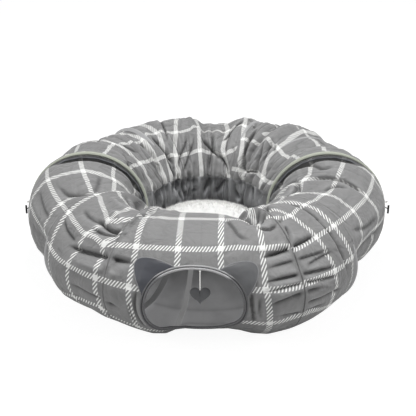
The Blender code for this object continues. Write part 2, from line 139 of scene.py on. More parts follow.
def gridPiece(name, points, material, layers=None, wrapRows=False, wrapColumns=False, outward=None):
    maps = {key: value.reshape(-1, 2) for key, value in (layers or {}).items()}
    quads = gridQuads(*points.shape[:2], wrapRows, wrapColumns)
    if outward is None:  # away from the middle of each row
        outward = points - points.mean(axis=1, keepdims=True)
    piece = meshFromArrays(name, points.reshape(-1, 3), quads, maps, outward.reshape(-1, 3))
    piece.data.materials.append(material)
    return piece

def sweep(name, path, up, profile, material, closed=False, scale=None):
    # a profile (side, up) carried along a path; its UV is length along the path and share round it
    if closed:
        along = unit(np.roll(path, -1, 0) - np.roll(path, 1, 0))
    else:
        along = unit(np.gradient(path, axis=0))
    side = unit(np.cross(along, up))
    rise = np.cross(side, along)
    size = np.ones(len(path)) if scale is None else scale
    points = (path[:, None] + side[:, None] * (profile[None, :, :1] * size[:, None, None])
              + rise[:, None] * (profile[None, :, 1:] * size[:, None, None]))
    length = np.concatenate([[0], np.cumsum(np.linalg.norm(np.diff(path, axis=0), axis=1))])
    around = np.arange(len(profile)) / len(profile)
    uv = together(length[:, None], around[None])
    return gridPiece(name, points, material, {"length": uv}, closed, True)

def turns(count):  # even angles round a circle, in radians
    return 2 * np.pi * np.arange(count) / count

def circle(radius, sides=12, flatten=1.0):
    turn = turns(sides)
    return np.stack([radius * np.cos(turn), radius * flatten * np.sin(turn)], -1)

def roundEnds(count, rows=5):  # profile scale along a path whose ends are closed to points
    scale = np.ones(count)
    ease = np.sqrt(1 - (1 - np.arange(rows) / rows) ** 2)
    scale[:rows] = np.maximum(ease, 0.01)
    scale[-rows:] = scale[:rows][::-1]
    return scale

def manyTubes(name, points, outward, material):  # small tubes in one mesh: points (tubes, rings, sides, 3)
    number = np.arange(points[..., 0].size).reshape(points.shape[:3])
    after = np.roll(number, -1, 2)
    quads = np.stack([number[:, :-1], after[:, :-1], after[:, 1:], number[:, 1:]], -1).reshape(-1, 4)
    piece = meshFromArrays(name, points.reshape(-1, 3), quads, {}, outward.reshape(-1, 3))
    piece.data.materials.append(material)
    return piece

def settle(piece, body, node=None):  # the body it rides on and the CAD node it stands for
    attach(piece, body)
    if node:
        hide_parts(node)

def addModifier(piece, kind, **settings):
    made = piece.modifiers.new(kind.lower(), kind)
    for key, value in settings.items():
        setattr(made, key, value)
    return made

def toLinear(code):  # sRGB hex to linear colour
    parts = [int(code[k:k + 2], 16) / 255 for k in (1, 3, 5)]
    return tuple(c / 12.92 if c <= 0.04045 else ((c + 0.055) / 1.055) ** 2.4 for c in parts) + (1.0,)

def addNode(tree, kind, settings=None, **links):
    # a node with its settings; a link or a value for a socket is given by the socket's name or number
    node = tree.nodes.new("ShaderNode" + kind)
    for key, value in (settings or {}).items():
        setattr(node, key, value)
    for key, value in links.items():
        socket = node.inputs[int(key[1:])] if key[0] == "_" else node.inputs[key.replace("_", " ")]
        if isinstance(value, bpy.types.NodeSocket):
            tree.links.new(value, socket)
        else:
            socket.default_value = value
    return node

def newMaterial(name, colour, roughness, **shaderValues):
    material = bpy.data.materials.new(name)
    material.use_nodes = True
    tree = material.node_tree
    shader = tree.nodes["Principled BSDF"]
    shader.inputs["Base Color"].default_value = toLinear(colour)
    shader.inputs["Roughness"].default_value = roughness
    for key, value in shaderValues.items():
        shader.inputs[key.replace("_", " ")].default_value = value
    return material, tree, shader

def compute(tree, operation, a, b=0.0):
    return addNode(tree, "Math", {"operation": operation}, _0=a, _1=b).outputs[0]

def plus(tree, a, b):
    return compute(tree, "ADD", a, b)

def times(tree, a, b):
    return compute(tree, "MULTIPLY", a, b)

def ramp(tree, value, start, end, low=0.0, high=1.0, kind="LINEAR"):  # low at start, high at end
    return addNode(tree, "MapRange", {"interpolation_type": kind}, Value=value, _1=start, _2=end,
                   _3=low, _4=high).outputs[0]

def uvMap(tree, name):
    return addNode(tree, "UVMap", {"uv_map": name}).outputs[0]

def objectPlace(tree):
    return addNode(tree, "TexCoord").outputs["Object"]

def split(tree, vector):
    return addNode(tree, "SeparateXYZ", Vector=vector).outputs

def noise(tree, vector, scale, **settings):
    return addNode(tree, "TexNoise", Vector=vector, Scale=scale, **settings).outputs[0]

def mixColour(tree, share, under, over):
    return addNode(tree, "Mix", {"data_type": "RGBA"}, _0=share, _6=under, _7=over).outputs[2]

def setColour(tree, shader, colour, glow=0.0):  # glow is painted light: an emission in the cloth's colour, standing in for daylight through thin cloth
    tree.links.new(colour, shader.inputs["Base Color"])
    if glow:
        tree.links.new(colour, shader.inputs["Emission Color"])
        shader.inputs["Emission Strength"].default_value = glow

def setBump(tree, shader, height, strength, distance=1.0):
    bump = addNode(tree, "Bump", Height=height, Distance=distance, Strength=strength)
    tree.links.new(bump.outputs[0], shader.inputs["Normal"])

def mottle(tree, colourA, colourB, vector, scale, detail=3.0):
    # the colour wanders between two tones, as dyed cloth does
    share = ramp(tree, noise(tree, vector, scale, Detail=detail), 0.35, 0.65)
    return mixColour(tree, share, toLinear(colourA), toLinear(colourB))

threadMm = 1.3  # threads are drawn coarser than real, so that they show

def weaveHeight(tree, vector, space=1.0):
    # plain weave: the product of two rows of threads, space metres to one unit of the coordinate
    parts = split(tree, vector)
    rate = 2 * math.pi * space / (threadMm * mm * 2)
    return times(tree, *[compute(tree, "SINE", times(tree, parts[k], rate)) for k in (0, 1)])

def stripeMask(tree, value, width, edge):  # 1 within width/2 of a whole number
    part = compute(tree, "FRACT", plus(tree, value, 0.5))
    far = compute(tree, "ABSOLUTE", compute(tree, "SUBTRACT", part, 0.5))
    return ramp(tree, far, times(tree, width, 0.5 + edge), times(tree, width, 0.5 - edge),
                kind="SMOOTHSTEP")

def seamLine(tree, seam):
    # the sewn seam over each hoop: a dark line, and a row of stitches beside it. seam holds the distance
    # from it and the place along it, in units of 100 mm
    parts = split(tree, seam)
    dark = ramp(tree, parts[0], 0.024, 0.008, kind="SMOOTHSTEP")
    beside = compute(tree, "ABSOLUTE", compute(tree, "SUBTRACT", parts[0], 0.05))
    dash = compute(tree, "LESS_THAN", compute(tree, "FRACT", times(tree, parts[1], 100 / 3.4)), 0.62)
    return dark, times(tree, ramp(tree, beside, 0.007, 0.003), dash)

# dark is the colour of the seam line and of the painted crease shade; pale is that of the painted ridge
# highlight
plaid = dict(pitch=94.5, stripe=13.2, stroke=6.1, lean=31.0, strokeShare=0.46, grey="#838383",
             greyDark="#767676", white="#f2f2f0", pale="#c2c2c2", dark="#2a2a2a", seamDark=0.6,
             paintedCreaseShade=0.8, paintedRidgeHighlight=0.22)

def plaidPolyester():
    # printed plain-weave polyester: white windowpane of slanted strokes on grey, soft low sheen
    material, tree, shader = newMaterial("printed polyester plaid", plaid["grey"], 0.62,
                                         Sheen_Weight=0.12, Sheen_Roughness=0.5)
    place = objectPlace(tree)
    shift = times(tree, compute(tree, "SUBTRACT", noise(tree, place, 40.0), 0.5), 0.012)
    # the gauge map holds how much of a repeat there is to a millimetre of cloth, times ten
    count, gauge = split(tree, uvMap(tree, "plaid")), split(tree, uvMap(tree, "gauge"))
    masks = [stripeMask(tree, plus(tree, count[k], shift), times(tree, gauge[k], plaid["stripe"] / 10),
                        0.06) for k in (0, 1)]
    lean, strokes = math.radians(plaid["lean"]), plaid["pitch"] / plaid["stroke"]
    even = uvMap(tree, "strokes")
    evenParts = split(tree, even)
    slant = plus(tree, times(tree, evenParts[0], strokes * math.cos(lean)),
                 times(tree, evenParts[1], -strokes * math.sin(lean)))
    stroke = stripeMask(tree, slant, plaid["strokeShare"], 0.15)
    # on the gathered cloth, away from the window, the strokes run together
    apart = ramp(tree, split(tree, place)[1], -0.2, 0.02, 1.0, 0.3)
    stroke = plus(tree, times(tree, plus(tree, stroke, -0.6), apart), 0.6)
    ink = compute(tree, "MAXIMUM", times(tree, compute(tree, "MAXIMUM", *masks), stroke),
                  times(tree, *masks))
    ground = mixColour(tree, noise(tree, place, 9.0, Detail=4.0), toLinear(plaid["greyDark"]),
                       toLinear(plaid["grey"]))
    # tucks finer than the mesh get painted shade and painted highlight: the shading map's x is 1 in the
    # bottom of a crease, which is painted dark, and its y is 1 on a ridge, which is painted paler
    paintedShading = split(tree, uvMap(tree, "paintedShading"))
    ground = mixColour(tree, times(tree, paintedShading[1], plaid["paintedRidgeHighlight"]), ground, toLinear(plaid["pale"]))
    printed = mixColour(tree, ink, ground, toLinear(plaid["white"]))
    dark, stitch = seamLine(tree, uvMap(tree, "seam"))
    # the seam's dark line, and painted shade in the creases
    shade = compute(tree, "MAXIMUM", times(tree, dark, plaid["seamDark"]),
                    times(tree, paintedShading[0], plaid["paintedCreaseShade"]))
    setColour(tree, shader, mixColour(tree, shade, printed, toLinear(plaid["dark"])))
    # the weave, crinkles of 12 mm, rumples of 40 mm and the stitches, each with its depth in metres
    height = 0.0
    for part, depth in ((weaveHeight(tree, even, plaid["pitch"] * mm), 0.00012),
                        (noise(tree, place, 85.0, Detail=3.0, Roughness=0.55), 0.0022),
                        (noise(tree, place, 26.0, Detail=2.0, Distortion=1.2), 0.009),
                        (stitch, -0.0004)):
        height = plus(tree, height, times(tree, part, depth))
    setBump(tree, shader, height, 0.75)
    return material

def plainCloth(name, colourA, colourB, roughness, crinkle=0.0016, scale=70.0, sheen=0.1, glow=0.0,
               paintedCreaseShade=0.0, channel=0, paintedLightBelow=None):
    material, tree, shader = newMaterial(name, colourA, roughness, Sheen_Weight=sheen)
    place = objectPlace(tree)
    colour = mottle(tree, colourA, colourB, place, 14.0)
    if paintedLightBelow:  # painted light: the cloth turns paler below a height in metres
        cloudy = times(tree, noise(tree, place, 17.0, Detail=3.0), -0.06)
        low = ramp(tree, plus(tree, split(tree, place)[2], cloudy), paintedLightBelow[1], paintedLightBelow[0])
        colour = mixColour(tree, low, colour, toLinear(paintedLightBelow[2]))
    if paintedCreaseShade:  # painted shade in creases: channel 0 of the shading map holds the valleys of the outer side, channel 1 its ridges
        share = times(tree, split(tree, uvMap(tree, "paintedShading"))[channel], paintedCreaseShade)
        colour = mixColour(tree, share, colour, toLinear("#262626"))
    setColour(tree, shader, colour, glow)
    height = plus(tree, times(tree, weaveHeight(tree, place), 0.0001),
                  times(tree, noise(tree, place, scale, Detail=4.0), crinkle))
    setBump(tree, shader, height, 0.7)
    return material

def corded(name, colourA, colourB, roughness, pitchMm, depthMm, top=None, glow=0.0):
    # ribs across a cord, tape or piping, counted along its own length. top: a painted highlight, a paler
    # colour on the piece's top, and the heights between which it sets in
    material, tree, shader = newMaterial(name, colourA, roughness, Sheen_Weight=0.1)
    parts = split(tree, uvMap(tree, "length"))
    turn = plus(tree, times(tree, parts[0], 2 * math.pi / (pitchMm * mm)),
                times(tree, parts[1], 4 * math.pi))
    rib = compute(tree, "SINE", turn)
    colour = mixColour(tree, plus(tree, times(tree, rib, 0.5), 0.5), toLinear(colourB), toLinear(colourA))
    if top:
        share = ramp(tree, split(tree, objectPlace(tree))[2], top[1], top[2])
        colour = mixColour(tree, share, colour, toLinear(top[0]))
    setColour(tree, shader, colour, glow)
    setBump(tree, shader, times(tree, rib, depthMm * mm), 0.8)
    return material

def hardMaterial(name, colourA, colourB, roughness, metallic=0.0, coat=0.0):
    material, tree, shader = newMaterial(name, colourA, roughness, Metallic=metallic, Coat_Weight=coat)
    place = objectPlace(tree)
    setColour(tree, shader, mottle(tree, colourA, colourB, place, 60.0))
    grain = noise(tree, place, 400.0, Detail=2.0)
    rough = ramp(tree, grain, 0.0, 1.0, roughness * 0.8, roughness * 1.25)
    tree.links.new(rough, shader.inputs["Roughness"])
    setBump(tree, shader, grain, 0.5, 0.0001)
    return material

def fluffy(name, colourA, colourB):
    # polyester faux-fur pile: matt, with a painted glow standing in for light scattered between the hairs
    material, tree, shader = newMaterial(name, colourA, 0.95, Sheen_Weight=0.35, Sheen_Roughness=0.4)
    setColour(tree, shader, mottle(tree, colourA, colourB, objectPlace(tree), 55.0, 5.0), 0.05)
    return material

cloth = plaidPolyester()
# the lining: a painted glow, painted shade along the outer side's ridges, and painted light towards the
# bottom
lining = plainCloth("polyester lining", "#7c7c7d", "#707071", 0.7, crinkle=0.0014, glow=0.15,
                    paintedCreaseShade=0.4, channel=1, paintedLightBelow=(-0.03, 0.045, "#e4e4e5"))
# the base cloth: painted shade in its creases
baseCloth = plainCloth("plain woven polyester", "#949597", "#868789", 0.62, crinkle=0.003, paintedCreaseShade=0.4)
matCloth = plainCloth("plain mat polyester", "#8c8d8f", "#7e7f81", 0.62, crinkle=0.003)
# the casing tape and the seam tape carry a painted glow
casingCloth = plainCloth("hoop casing tape", "#a0a0a1", "#989899", 0.75, glow=0.17)
weltCloth = plainCloth("lining seam tape", "#c4c4c4", "#b8b8b8", 0.75, glow=0.26)
# the left ear is a darker copy of the right one: painted shade
earCloth = dict(left=plainCloth("satin polyester ear, painted shade", "#3c3e45", "#303239", 0.5, crinkle=0.0008),
                right=plainCloth("satin polyester ear", "#5f6062", "#545557", 0.5, crinkle=0.0008))
# the window piping's top is painted paler: a painted highlight
rimCloth = corded("window piping", "#6e6e70", "#5a5a5c", 0.65, 3.0, 0.15, top=("#b2b2b3", 0.183, 0.189))
# the dark bias piping is painted shade, in the fold round the window and in the front zip's groove
darkPiping = corded("bias piping, painted shade", "#252628", "#1d1e20", 0.7, 3.0, 0.15)
earPiping = corded("ear piping", "#8d8d8f", "#7b7b7d", 0.7, 3.0, 0.15)
tapeCloth = corded("woven zip tape", "#b9bdb0", "#a7ab9e", 0.75, 1.6, 0.1)
# the zip tape is charcoal, darkened further by painted shade of the groove
darkTape = corded("woven zip tape, charcoal and painted shade", "#232424", "#191a1a", 0.75, 1.6, 0.1)
teethNylon = hardMaterial("nylon zip coil", "#232424", "#1a1b1b", 0.4)
whiteTape = corded("white cotton tape", "#f0f0ec", "#dcdcd8", 0.8, 1.6, 0.12)
elastic = corded("braided elastic", "#f1f1ee", "#d6d6d2", 0.75, 1.8, 0.2)
# the string carries a painted glow
stringCotton = corded("twisted cotton string", "#f8f8f5", "#eaeae6", 0.8, 2.2, 0.25, glow=0.45)
blackPlastic = hardMaterial("moulded ABS toggle", "#1b1b1c", "#161617", 0.42)
darkMetal = hardMaterial("black zinc alloy", "#2a2a2c", "#202022", 0.34, metallic=0.6, coat=0.3)
springSteel = hardMaterial("coated spring wire", "#6d6f73", "#5e6064", 0.38, metallic=0.8)
heartFelt = plainCloth("brushed felt heart", "#666769", "#595a5c", 0.9, crinkle=0.0012, scale=160.0,
                       sheen=0.4)
plushPile = fluffy("faux fur pile", "#f8f8f6", "#ebebe9")
print("materials made")

# the ring's surface, in the CAD's own numbers
ring = dict(radius=0.305, gateRadius=0.150, halfWidth=0.1495, halfHeight=0.132, rearHeight=0.137,
            rearMiddle=84.0, rearReach=75.0, rearEase=40.0, floorFlat=0.004, gateReach=34.0,
            gateHalfGap=0.0105, coverLow=-62.0, coverHigh=167.0, cloth=1.2 * mm, meanRadius=0.142)
stations = dict(front=[180, 212, 240, 268, 297, 320, 360], rear=[180, 156, 129, 98, 67, 36, 0])
chains = dict(front=["left_gate", "front_1", "front_2", "window", "front_4", "front_5",
                     "right_gate_front"],
              rear=["left_gate", "rear_1", "rear_2", "rear_3", "rear_4", "rear_5", "right_gate_rear"])
sags = dict(front=[6, 9, 2, 2, 6, 9], rear=[5, 9, 13, 14, 10, 6])  # mm, at the middle of each slot

# how far the cloth stands out from the plain tube, in mm, by the angle round the ring: along the upper
# outer side, and along the lower outer side, where it runs straight from hoop to hoop or hangs out
upperOut = [(0, 0), (4, -5), (10, -7), (20, -7), (28, -7), (36, -3), (41, 6), (45, 10), (51, 6), (55, -10),
            (60, -1), (64, -6), (67, -5), (70, 6), (73, 5), (77, -5), (81, -16), (86, -20), (92, -17),
            (96, -5), (98, 2), (102, -2), (107, -1), (113, 3), (121, -5), (129, -6), (134, -13), (141, -8),
            (149, 5), (156, 5), (162, -8), (171, -14), (177, -4), (180, 0), (190, 0), (197, -5), (206, -4),
            (212, 0), (226, -3), (240, 0), (268, 0), (297, 0), (308, -2), (320, 0), (334, -8), (346, -6),
            (360, 0)]
lowerOut = [(0, 0), (18, -8), (36, 0), (51, -8), (67, 0), (82, -9), (98, 0), (113, -8), (129, 0),
            (142, -6), (156, 0), (168, -6), (180, 0), (189, -1), (195, -8), (202, -26), (207, -30),
            (212, -8), (216, 4), (219, 9), (229, 3), (235, 7), (240, 7), (246, 11), (252, 14), (256, 10),
            (259, -1), (263, -7), (270, -7), (277, -6), (281, 0), (285, 10), (290, 18), (297, 18),
            (304, 14), (309, 9), (313, 4), (318, -2), (325, -33), (330, -43), (338, -35), (344, -20),
            (350, -9), (356, -3), (360, 0)]

# mm of cloth to a degree round the tube, and the same round the ring at the tunnel's top
tubeMm, topMm = 2.45, 5.4
# degrees round the ring: where the two window panels meet, and the seam right of them, pulled tight
windowSeam, tightSeam = stations["front"][3:5]

def ringMm(phi):  # mm of cloth to a degree round the ring
    return (ring["radius"] + ring["halfWidth"] * cosine(phi)) / mm * np.pi / 180

def gateShare(theta):  # 1 at a zipped end, where the tube is round, 0 away from it
    return smooth(1 - np.abs((theta + 90) % 180 - 90) / ring["gateReach"])

def slotEnds(half, number):
    return stations[half][number - 1], stations[half][number]

def pleatDepth(theta):  # mm: small on the taut window panel, deeper at the sides and most behind
    front = smooth(1 - np.abs(theta - 268.5) / 34)
    rear = smooth((112 - np.abs(theta - 90)) / 50)
    return mix(mix(3.5, 9.5, rear), 0.6, front)

# creases: a chain of (theta, phi), how deep in mm, how wide, and how far the cloth on the left of the
# chain stands out over it
creases = [
    ([(287.5, 180), (289, 140), (289.5, 112), (290, 76)], 22, 26, 0),
    ([(301, 156), (302.5, 128), (304, 96)], -7, 16, 0),
    ([(168, 172), (186, 166), (197, 156), (209, 143), (223, 127), (236, 109), (252, 88)], 18, 26, 0),
    ([(355, 182), (353, 162), (350, 140)], 13, 12, 0),
    ([(181.3, 52), (181.5, 90), (182.1, 120), (182.6, 150), (182.8, 168)], 26, 9, 0),
    ([(358.8, 50), (358.5, 90), (358, 120), (357.5, 150), (357.4, 168)], 22, 9, 0),
    ([(196, 60), (202, 64), (206, 72), (208.5, 88), (209, 104), (209, 122)], 13, 8, 3),
    ([(212, 120), (224, 114), (236, 100)], 7, 9, 3),
    ([(217, 66), (225, 61), (232, 63)], 6, 9, -5),
    ([(226, 66), (231, 62), (235, 59), (239, 60), (240, 70), (240, 80)], 16, 6, 4),
    ([(228, 54), (233, 53), (237, 55), (243, 60)], 10, 6, 4),
    ([(243, 96), (241, 84), (241, 72), (239, 62)], 8, 7, -5),
    ([(214, 50), (217, 43), (221, 39), (226, 36)], 7, 10, 4),
    ([(222, 29), (229, 31), (236, 33), (242, 34), (249, 34)], 15, 8, 7),
    ([(226, 48), (234, 46), (243, 46)], -4, 14, 0),
    ([(226, 20), (236, 21), (246, 20)], -6, 12, 0),
    ([(226, -6), (232, -7), (238, -9), (246, -13)], 7, 8, 3),
    ([(250.6, 12), (249.9, 0), (249.9, -12), (250.6, -24), (252.5, -35)], 7, 3.5, 0),
    ([(248.6, 2), (248.0, -12), (248.8, -26), (251, -38)], 4, 3.5, 0),
    ([(195, 104), (204, 96), (209, 88)], 6, 12, -3),
    ([(190, 40), (198, 36), (208, 38)], 5, 14, 3),
    ([(216, 100), (226, 92), (238, 88)], -6, 16, 0),
    ([(229, 80), (234, 76), (237, 70)], -6, 18, 0),
    ([(358, 116), (352, 104), (349, 96), (351, 84)], 7, 8, 3),
    ([(343, 112), (344.5, 94), (344.5, 79), (344.5, 65), (343, 46)], 11, 8, 6),
    ([(334, 90), (340, 80), (341, 66)], 6, 7, 3),
    ([(316, 124), (326, 124), (335, 119), (345, 124)], 9, 7, 4),
    ([(330, 112), (337, 116), (344, 123)], 7, 6, 3),
    ([(346, 142), (346, 130), (345, 120)], 8, 7, 3),
    ([(313, 116), (313, 102), (313, 91), (313, 80), (313, 68), (313, 52), (313.5, 34), (314, 14),
      (315, -6)], 9, 5, -5),
    ([(307, 120), (298, 96), (291, 80), (287, 72)], 14, 9, 5),
    ([(284, 76), (288, 84), (293, 96), (300, 112)], 10, 9, 0),
    ([(288, 78), (292, 68), (296, 72), (302, 82)], 9, 6, 4),
    ([(278, 96), (280, 78), (281, 66), (285, 60)], 6, 9, 4),
    ([(299, 70), (298.6, 62), (297.6, 54), (296.8, 46)], 10, 4, 3),
    ([(286, 42), (291, 44), (296, 46), (301, 49), (308, 51)], 16, 6, 8),
    ([(286, 31), (291, 33), (297, 34), (304, 34), (311, 34)], 5, 6, 4),
    ([(285, 19), (291, 20.5), (296, 20.5), (302, 19), (311, 16)], 11, 6, 6),
    ([(285, 10), (291, 12.5), (297, 13), (303, 11), (311, 7)], 7, 5, 4),
    ([(286, -3), (291, 2), (297, 5), (304, 4)], 9, 7, 5),
    ([(296, -6), (301, -7), (307, -8), (312, -9)], 10, 6, 5),
    ([(299, 26), (304, 29), (311, 31)], 5, 5, 3),
    ([(288, -14), (296, -15), (306, -17)], 6, 7, 4),
    ([(282.4, 12), (282.2, 0), (283, -14), (283.2, -26)], 7, 3.5, 0),
    ([(284.6, 8), (284.4, -6), (284.8, -18)], 4, 3.5, 0),
    ([(322, 96), (322, 70), (323, 40)], 5, 7, -3),
    ([(322, 40), (332, 30), (342, 24)], 6, 12, 3),
    ([(324, 6), (336, 2), (350, 4)], 5, 12, 3),
    ([(123.5, 98), (124, 116), (122.5, 132), (119, 152)], 13, 6, 6),
    ([(111, 60), (113, 84), (115, 106), (118, 122)], 10, 6, 4),
    ([(97, 112), (101, 130), (107, 148), (113, 164)], 9, 5, -3),
    ([(95, 112), (91, 126), (85, 138), (79, 146)], 12, 5, 5),
    ([(97.6, 62), (96.6, 84), (95.6, 104)], 10, 6, 4),
    ([(122, 134), (124.5, 148), (121, 166)], 10, 5, 4),
    ([(150, 124), (155, 138), (160, 154), (163, 172)], 10, 6, 4),
    ([(168, 126), (172, 142), (175, 166)], 9, 6, 3),
    ([(152, 108), (160, 122), (168, 134), (176, 140)], 8, 8, -3),
    ([(149, 88), (144, 102), (141, 122)], 8, 9, 4),
    ([(134, 98), (134.5, 118), (135.5, 138), (136, 164)], 12, 6, -4),
    ([(103, 112), (105, 126), (112, 142), (118, 160)], 8, 5, 3),
    ([(88, 104), (86, 124), (87, 144), (90, 165)], 9, 6, 3),
    ([(61, 92), (61.5, 112), (61, 132), (58, 152), (56, 166)], 16, 6, -9),
    ([(50, 112), (48, 126), (45, 142), (40, 158)], 11, 5, 4),
    ([(46, 108), (43, 126), (39, 146), (34, 160)], 7, 5, -3),
    ([(42, 114), (38, 121), (35, 126), (36, 136)], 8, 5, 3),
    ([(82, 138), (77, 146), (72, 156), (69, 166)], 13, 6, 5),
    ([(80, 126), (77, 114), (73, 98), (71, 82)], 9, 6, 4),
    ([(72, 62), (68, 80), (63, 96)], 10, 7, -4),
    ([(55, 62), (54.5, 84), (53, 106)], 7, 8, 4),
    ([(71, 128), (66, 142), (67, 162)], 9, 5, 4),
    ([(62, 150), (56, 156), (48, 155), (41, 150)], 9, 5, 3),
    ([(40, 54), (33, 68), (26, 70)], 6, 9, 3),
    ([(24, 96), (22, 118), (16, 140)], 8, 8, 4),
    ([(12, 88), (10, 112), (8, 140)], 6, 8, 3),
    ([(140, 56), (146, 70), (152, 84)], 7, 8, 4),
    ([(86, 169), (90, 180), (94, 194)], 15, 7, 4), ([(71, 168), (77, 178), (83, 194)], 15, 7, 4),
    ([(62, 168), (64, 180), (58, 196)], 14, 7, -4), ([(46, 168), (42, 178), (36, 186)], 12, 7, 4),
    ([(121, 169), (126, 180), (133, 196)], 14, 7, -4), ([(101, 170), (96, 180), (107, 190)], 12, 6, 4),
    ([(138, 169), (145, 179), (144, 194)], 14, 7, 4), ([(112, 170), (114, 182), (110, 196)], 12, 7, 4),
    ([(154, 169), (158, 182), (160, 196)], 12, 6, -4), ([(24, 169), (28, 182), (26, 196)], 12, 7, 4),
]

def creased(theta, phi):
    # depth falls off with the distance from the chain; the raised side eases back over three widths
    total = np.zeros(np.broadcast(theta, phi).shape)
    paintedShading = 0 * total
    perDegree = ringMm(phi)
    for places, depth, width, lift in creases:
        line = np.array(places, float)
        # each corner is cut at a quarter of its two sides
        cuts = np.stack([0.75 * line[:-1] + 0.25 * line[1:], 0.25 * line[:-1] + 0.75 * line[1:]], 1)
        line = np.concatenate([line[:1], cuts.reshape(-1, 2)[1:-1], line[-1:]])
        if line[:, 0].max() < theta.min() - 9 or line[:, 0].min() > theta.max() + 9:
            continue
        pieces = np.hypot(np.diff(line[:, 0]) * topMm, np.diff(line[:, 1]) * tubeMm)
        before, whole = np.concatenate([[0], np.cumsum(pieces)]), pieces.sum()
        nearest, side, along = np.full(total.shape, 1e9), 0 * total, 0 * total
        for k in range(len(pieces)):
            ax, ay = (line[k, 0] - theta) * perDegree, (line[k, 1] - phi) * tubeMm
            bx, by = (line[k + 1, 0] - theta) * perDegree, (line[k + 1, 1] - phi) * tubeMm
            dx, dy = bx - ax, by - ay
            share = np.clip(-(ax * dx + ay * dy) / np.maximum(dx * dx + dy * dy, 1e-9), 0, 1)
            off = np.hypot(ax + share * dx, ay + share * dy)
            closer = off < nearest
            nearest = np.where(closer, off, nearest)
            side = np.where(closer, np.sign(ax * dy - ay * dx), side)
            along = np.where(closer, before[k] + share * pieces[k], along)
        ends = smooth(along / (0.25 * whole)) * smooth((whole - along) / (0.25 * whole))
        leftward = smooth(0.5 + nearest * side * np.sign(lift or 1) / (0.7 * width))
        stand = abs(lift) * np.exp(-nearest / (3.2 * width)) * leftward
        total += (depth * np.exp(-(nearest / width) ** 1.2) - stand) * ends
        # the share of painted shade along the bottom of the crease
        paintedShading = np.maximum(paintedShading, min(depth / 9, 1) * np.exp(-(nearest / (0.45 * width)) ** 2) * ends)
    return 1.3 * total, np.clip(paintedShading, 0, 1)

def clothDepth(theta, phi, half, number):
    # metres inside the line between hoops: slack, gathers, puckers and the creases above
    a, b = slotEnds(half, number)
    swell = np.sin(np.pi * np.clip((theta - a) / (b - a), 0, 1))
    perDegree = ringMm(phi)
    hoopOff = np.minimum(np.abs(theta - a), np.abs(theta - b)) * perDegree
    sewn = hoopOff
    if half == "front" and number in (3, 4):  # the window panels are sewn to no hoop where they meet
        sewn = np.where(np.abs(theta - windowSeam) < 14, 99, hoopOff)
    tied = smooth((sewn - 3) / 13)
    free = smooth((sine(phi) + 0.85) / 0.5)
    inner = 0.5 - 0.5 * cosine(phi)
    around = (phi + 180) % 360 - 180
    high = smooth((around - 12) / 26) * smooth((132 - around) / 34)
    lowDown = smooth((around + 92) / 30) * smooth((34 - around) / 34)
    outline = (np.interp(theta, *np.array(upperOut).T) * high
               + np.interp(theta, *np.array(lowerOut).T) * lowDown)
    slack = sags[half][number - 1] * swell * inner * (0.35 + 0.65 * smooth((phi - 88) / 40))
    # gathers: rounded ridges across the tube whose spacing and depth wander
    wander = 1.3 * lattice(theta / 9, phi / 38, 3) + 0.5 * lattice(theta / 3.5, phi / 22, 4)
    wave = np.cos(theta / 5.6 * np.pi + wander * 2.0)
    strength = 0.55 + 0.75 * lattice(theta / 6.5, phi / 45, 5)
    gathers = pleatDepth(theta) * (0.1 + 0.6 * inner ** 0.8) * wave * strength
    # puckers: sharp valleys with rounded cloth between them, where a noise passes through zero
    bent = lattice(theta / 13, phi / 34, 7)
    puckerA = 0.7 - 2.4 * np.abs(lattice(theta / 3.3 + bent, phi / 64 + 5, 6)) ** 0.85
    puckerB = 0.7 - 2.4 * np.abs(lattice(theta / 5.5 - bent, phi / 26 + 3, 9)) ** 0.85
    puckers = pleatDepth(theta) * (0.15 + 0.78 * inner) * (0.6 * puckerA + 0.4 * puckerB)
    # creases along the ring on the outer side
    ringCrease = lattice(theta / 11, phi / 7, 8) * 1.3 * (1 - inner) * pleatDepth(theta) * 0.4
    # the base's loose cloth
    loose = smooth((phi - 166) / 6) * smooth((214 - phi) / 20)
    crumple = loose * (3.2 - 10 * np.abs(lattice(theta / 10 + bent, phi / 27, 11)))
    body = slack + (gathers + puckers + ringCrease + crumple) * tied * swell ** 0.3
    atZip = sum((end % 180 == 0) * smooth(1 - np.abs(theta - end) / 8) for end in (a, b))
    deep, paintedShading = creased(theta, phi)
    body = body + deep * np.maximum(tied, atZip * smooth((hoopOff + 0.5) / 4))
    ridge = 0.0
    for end in (a, b):
        if end % 180 and end != windowSeam:
            offMm = (theta - end) * perDegree
            ridge = ridge - 1.6 * np.exp(-(offMm / 5.5) ** 2) + 1.4 * np.exp(-(offMm / 1.6) ** 2)
    # the cover's hem stands out over the base, which is drawn in under it
    hem = 5.0 * (smooth((phi - 152) / 10) - 2.0 * smooth((phi - 167) / 3.5) + smooth((phi - 176) / 30))
    # painted shade in the valleys of the puckers and of the base's crumples
    paintedPuckerShade = (0.6 * smooth((0.12 - np.abs(puckerA - 0.7) / 2.4) / 0.12)
               + 0.5 * loose * smooth((crumple - 1.4) / 1.8)) * inner * (pleatDepth(theta) / 9.5) * tied
    paintedShading = np.maximum(paintedShading * (0.4 + 0.6 * tied), paintedPuckerShade)
    # the cloth beside a zip is turned in, and painted dark as shade of the groove, so no stripe reaches the
    # groove
    turned = atZip * smooth((6.5 - hoopOff) / 3) * smooth((phi - 20) / 30) * (half == "front")
    paintedShading = np.maximum(paintedShading, 0.95 * turned)
    return (free * (body + ridge) - outline - hem * smooth(hoopOff / 12)) * mm, paintedShading * free

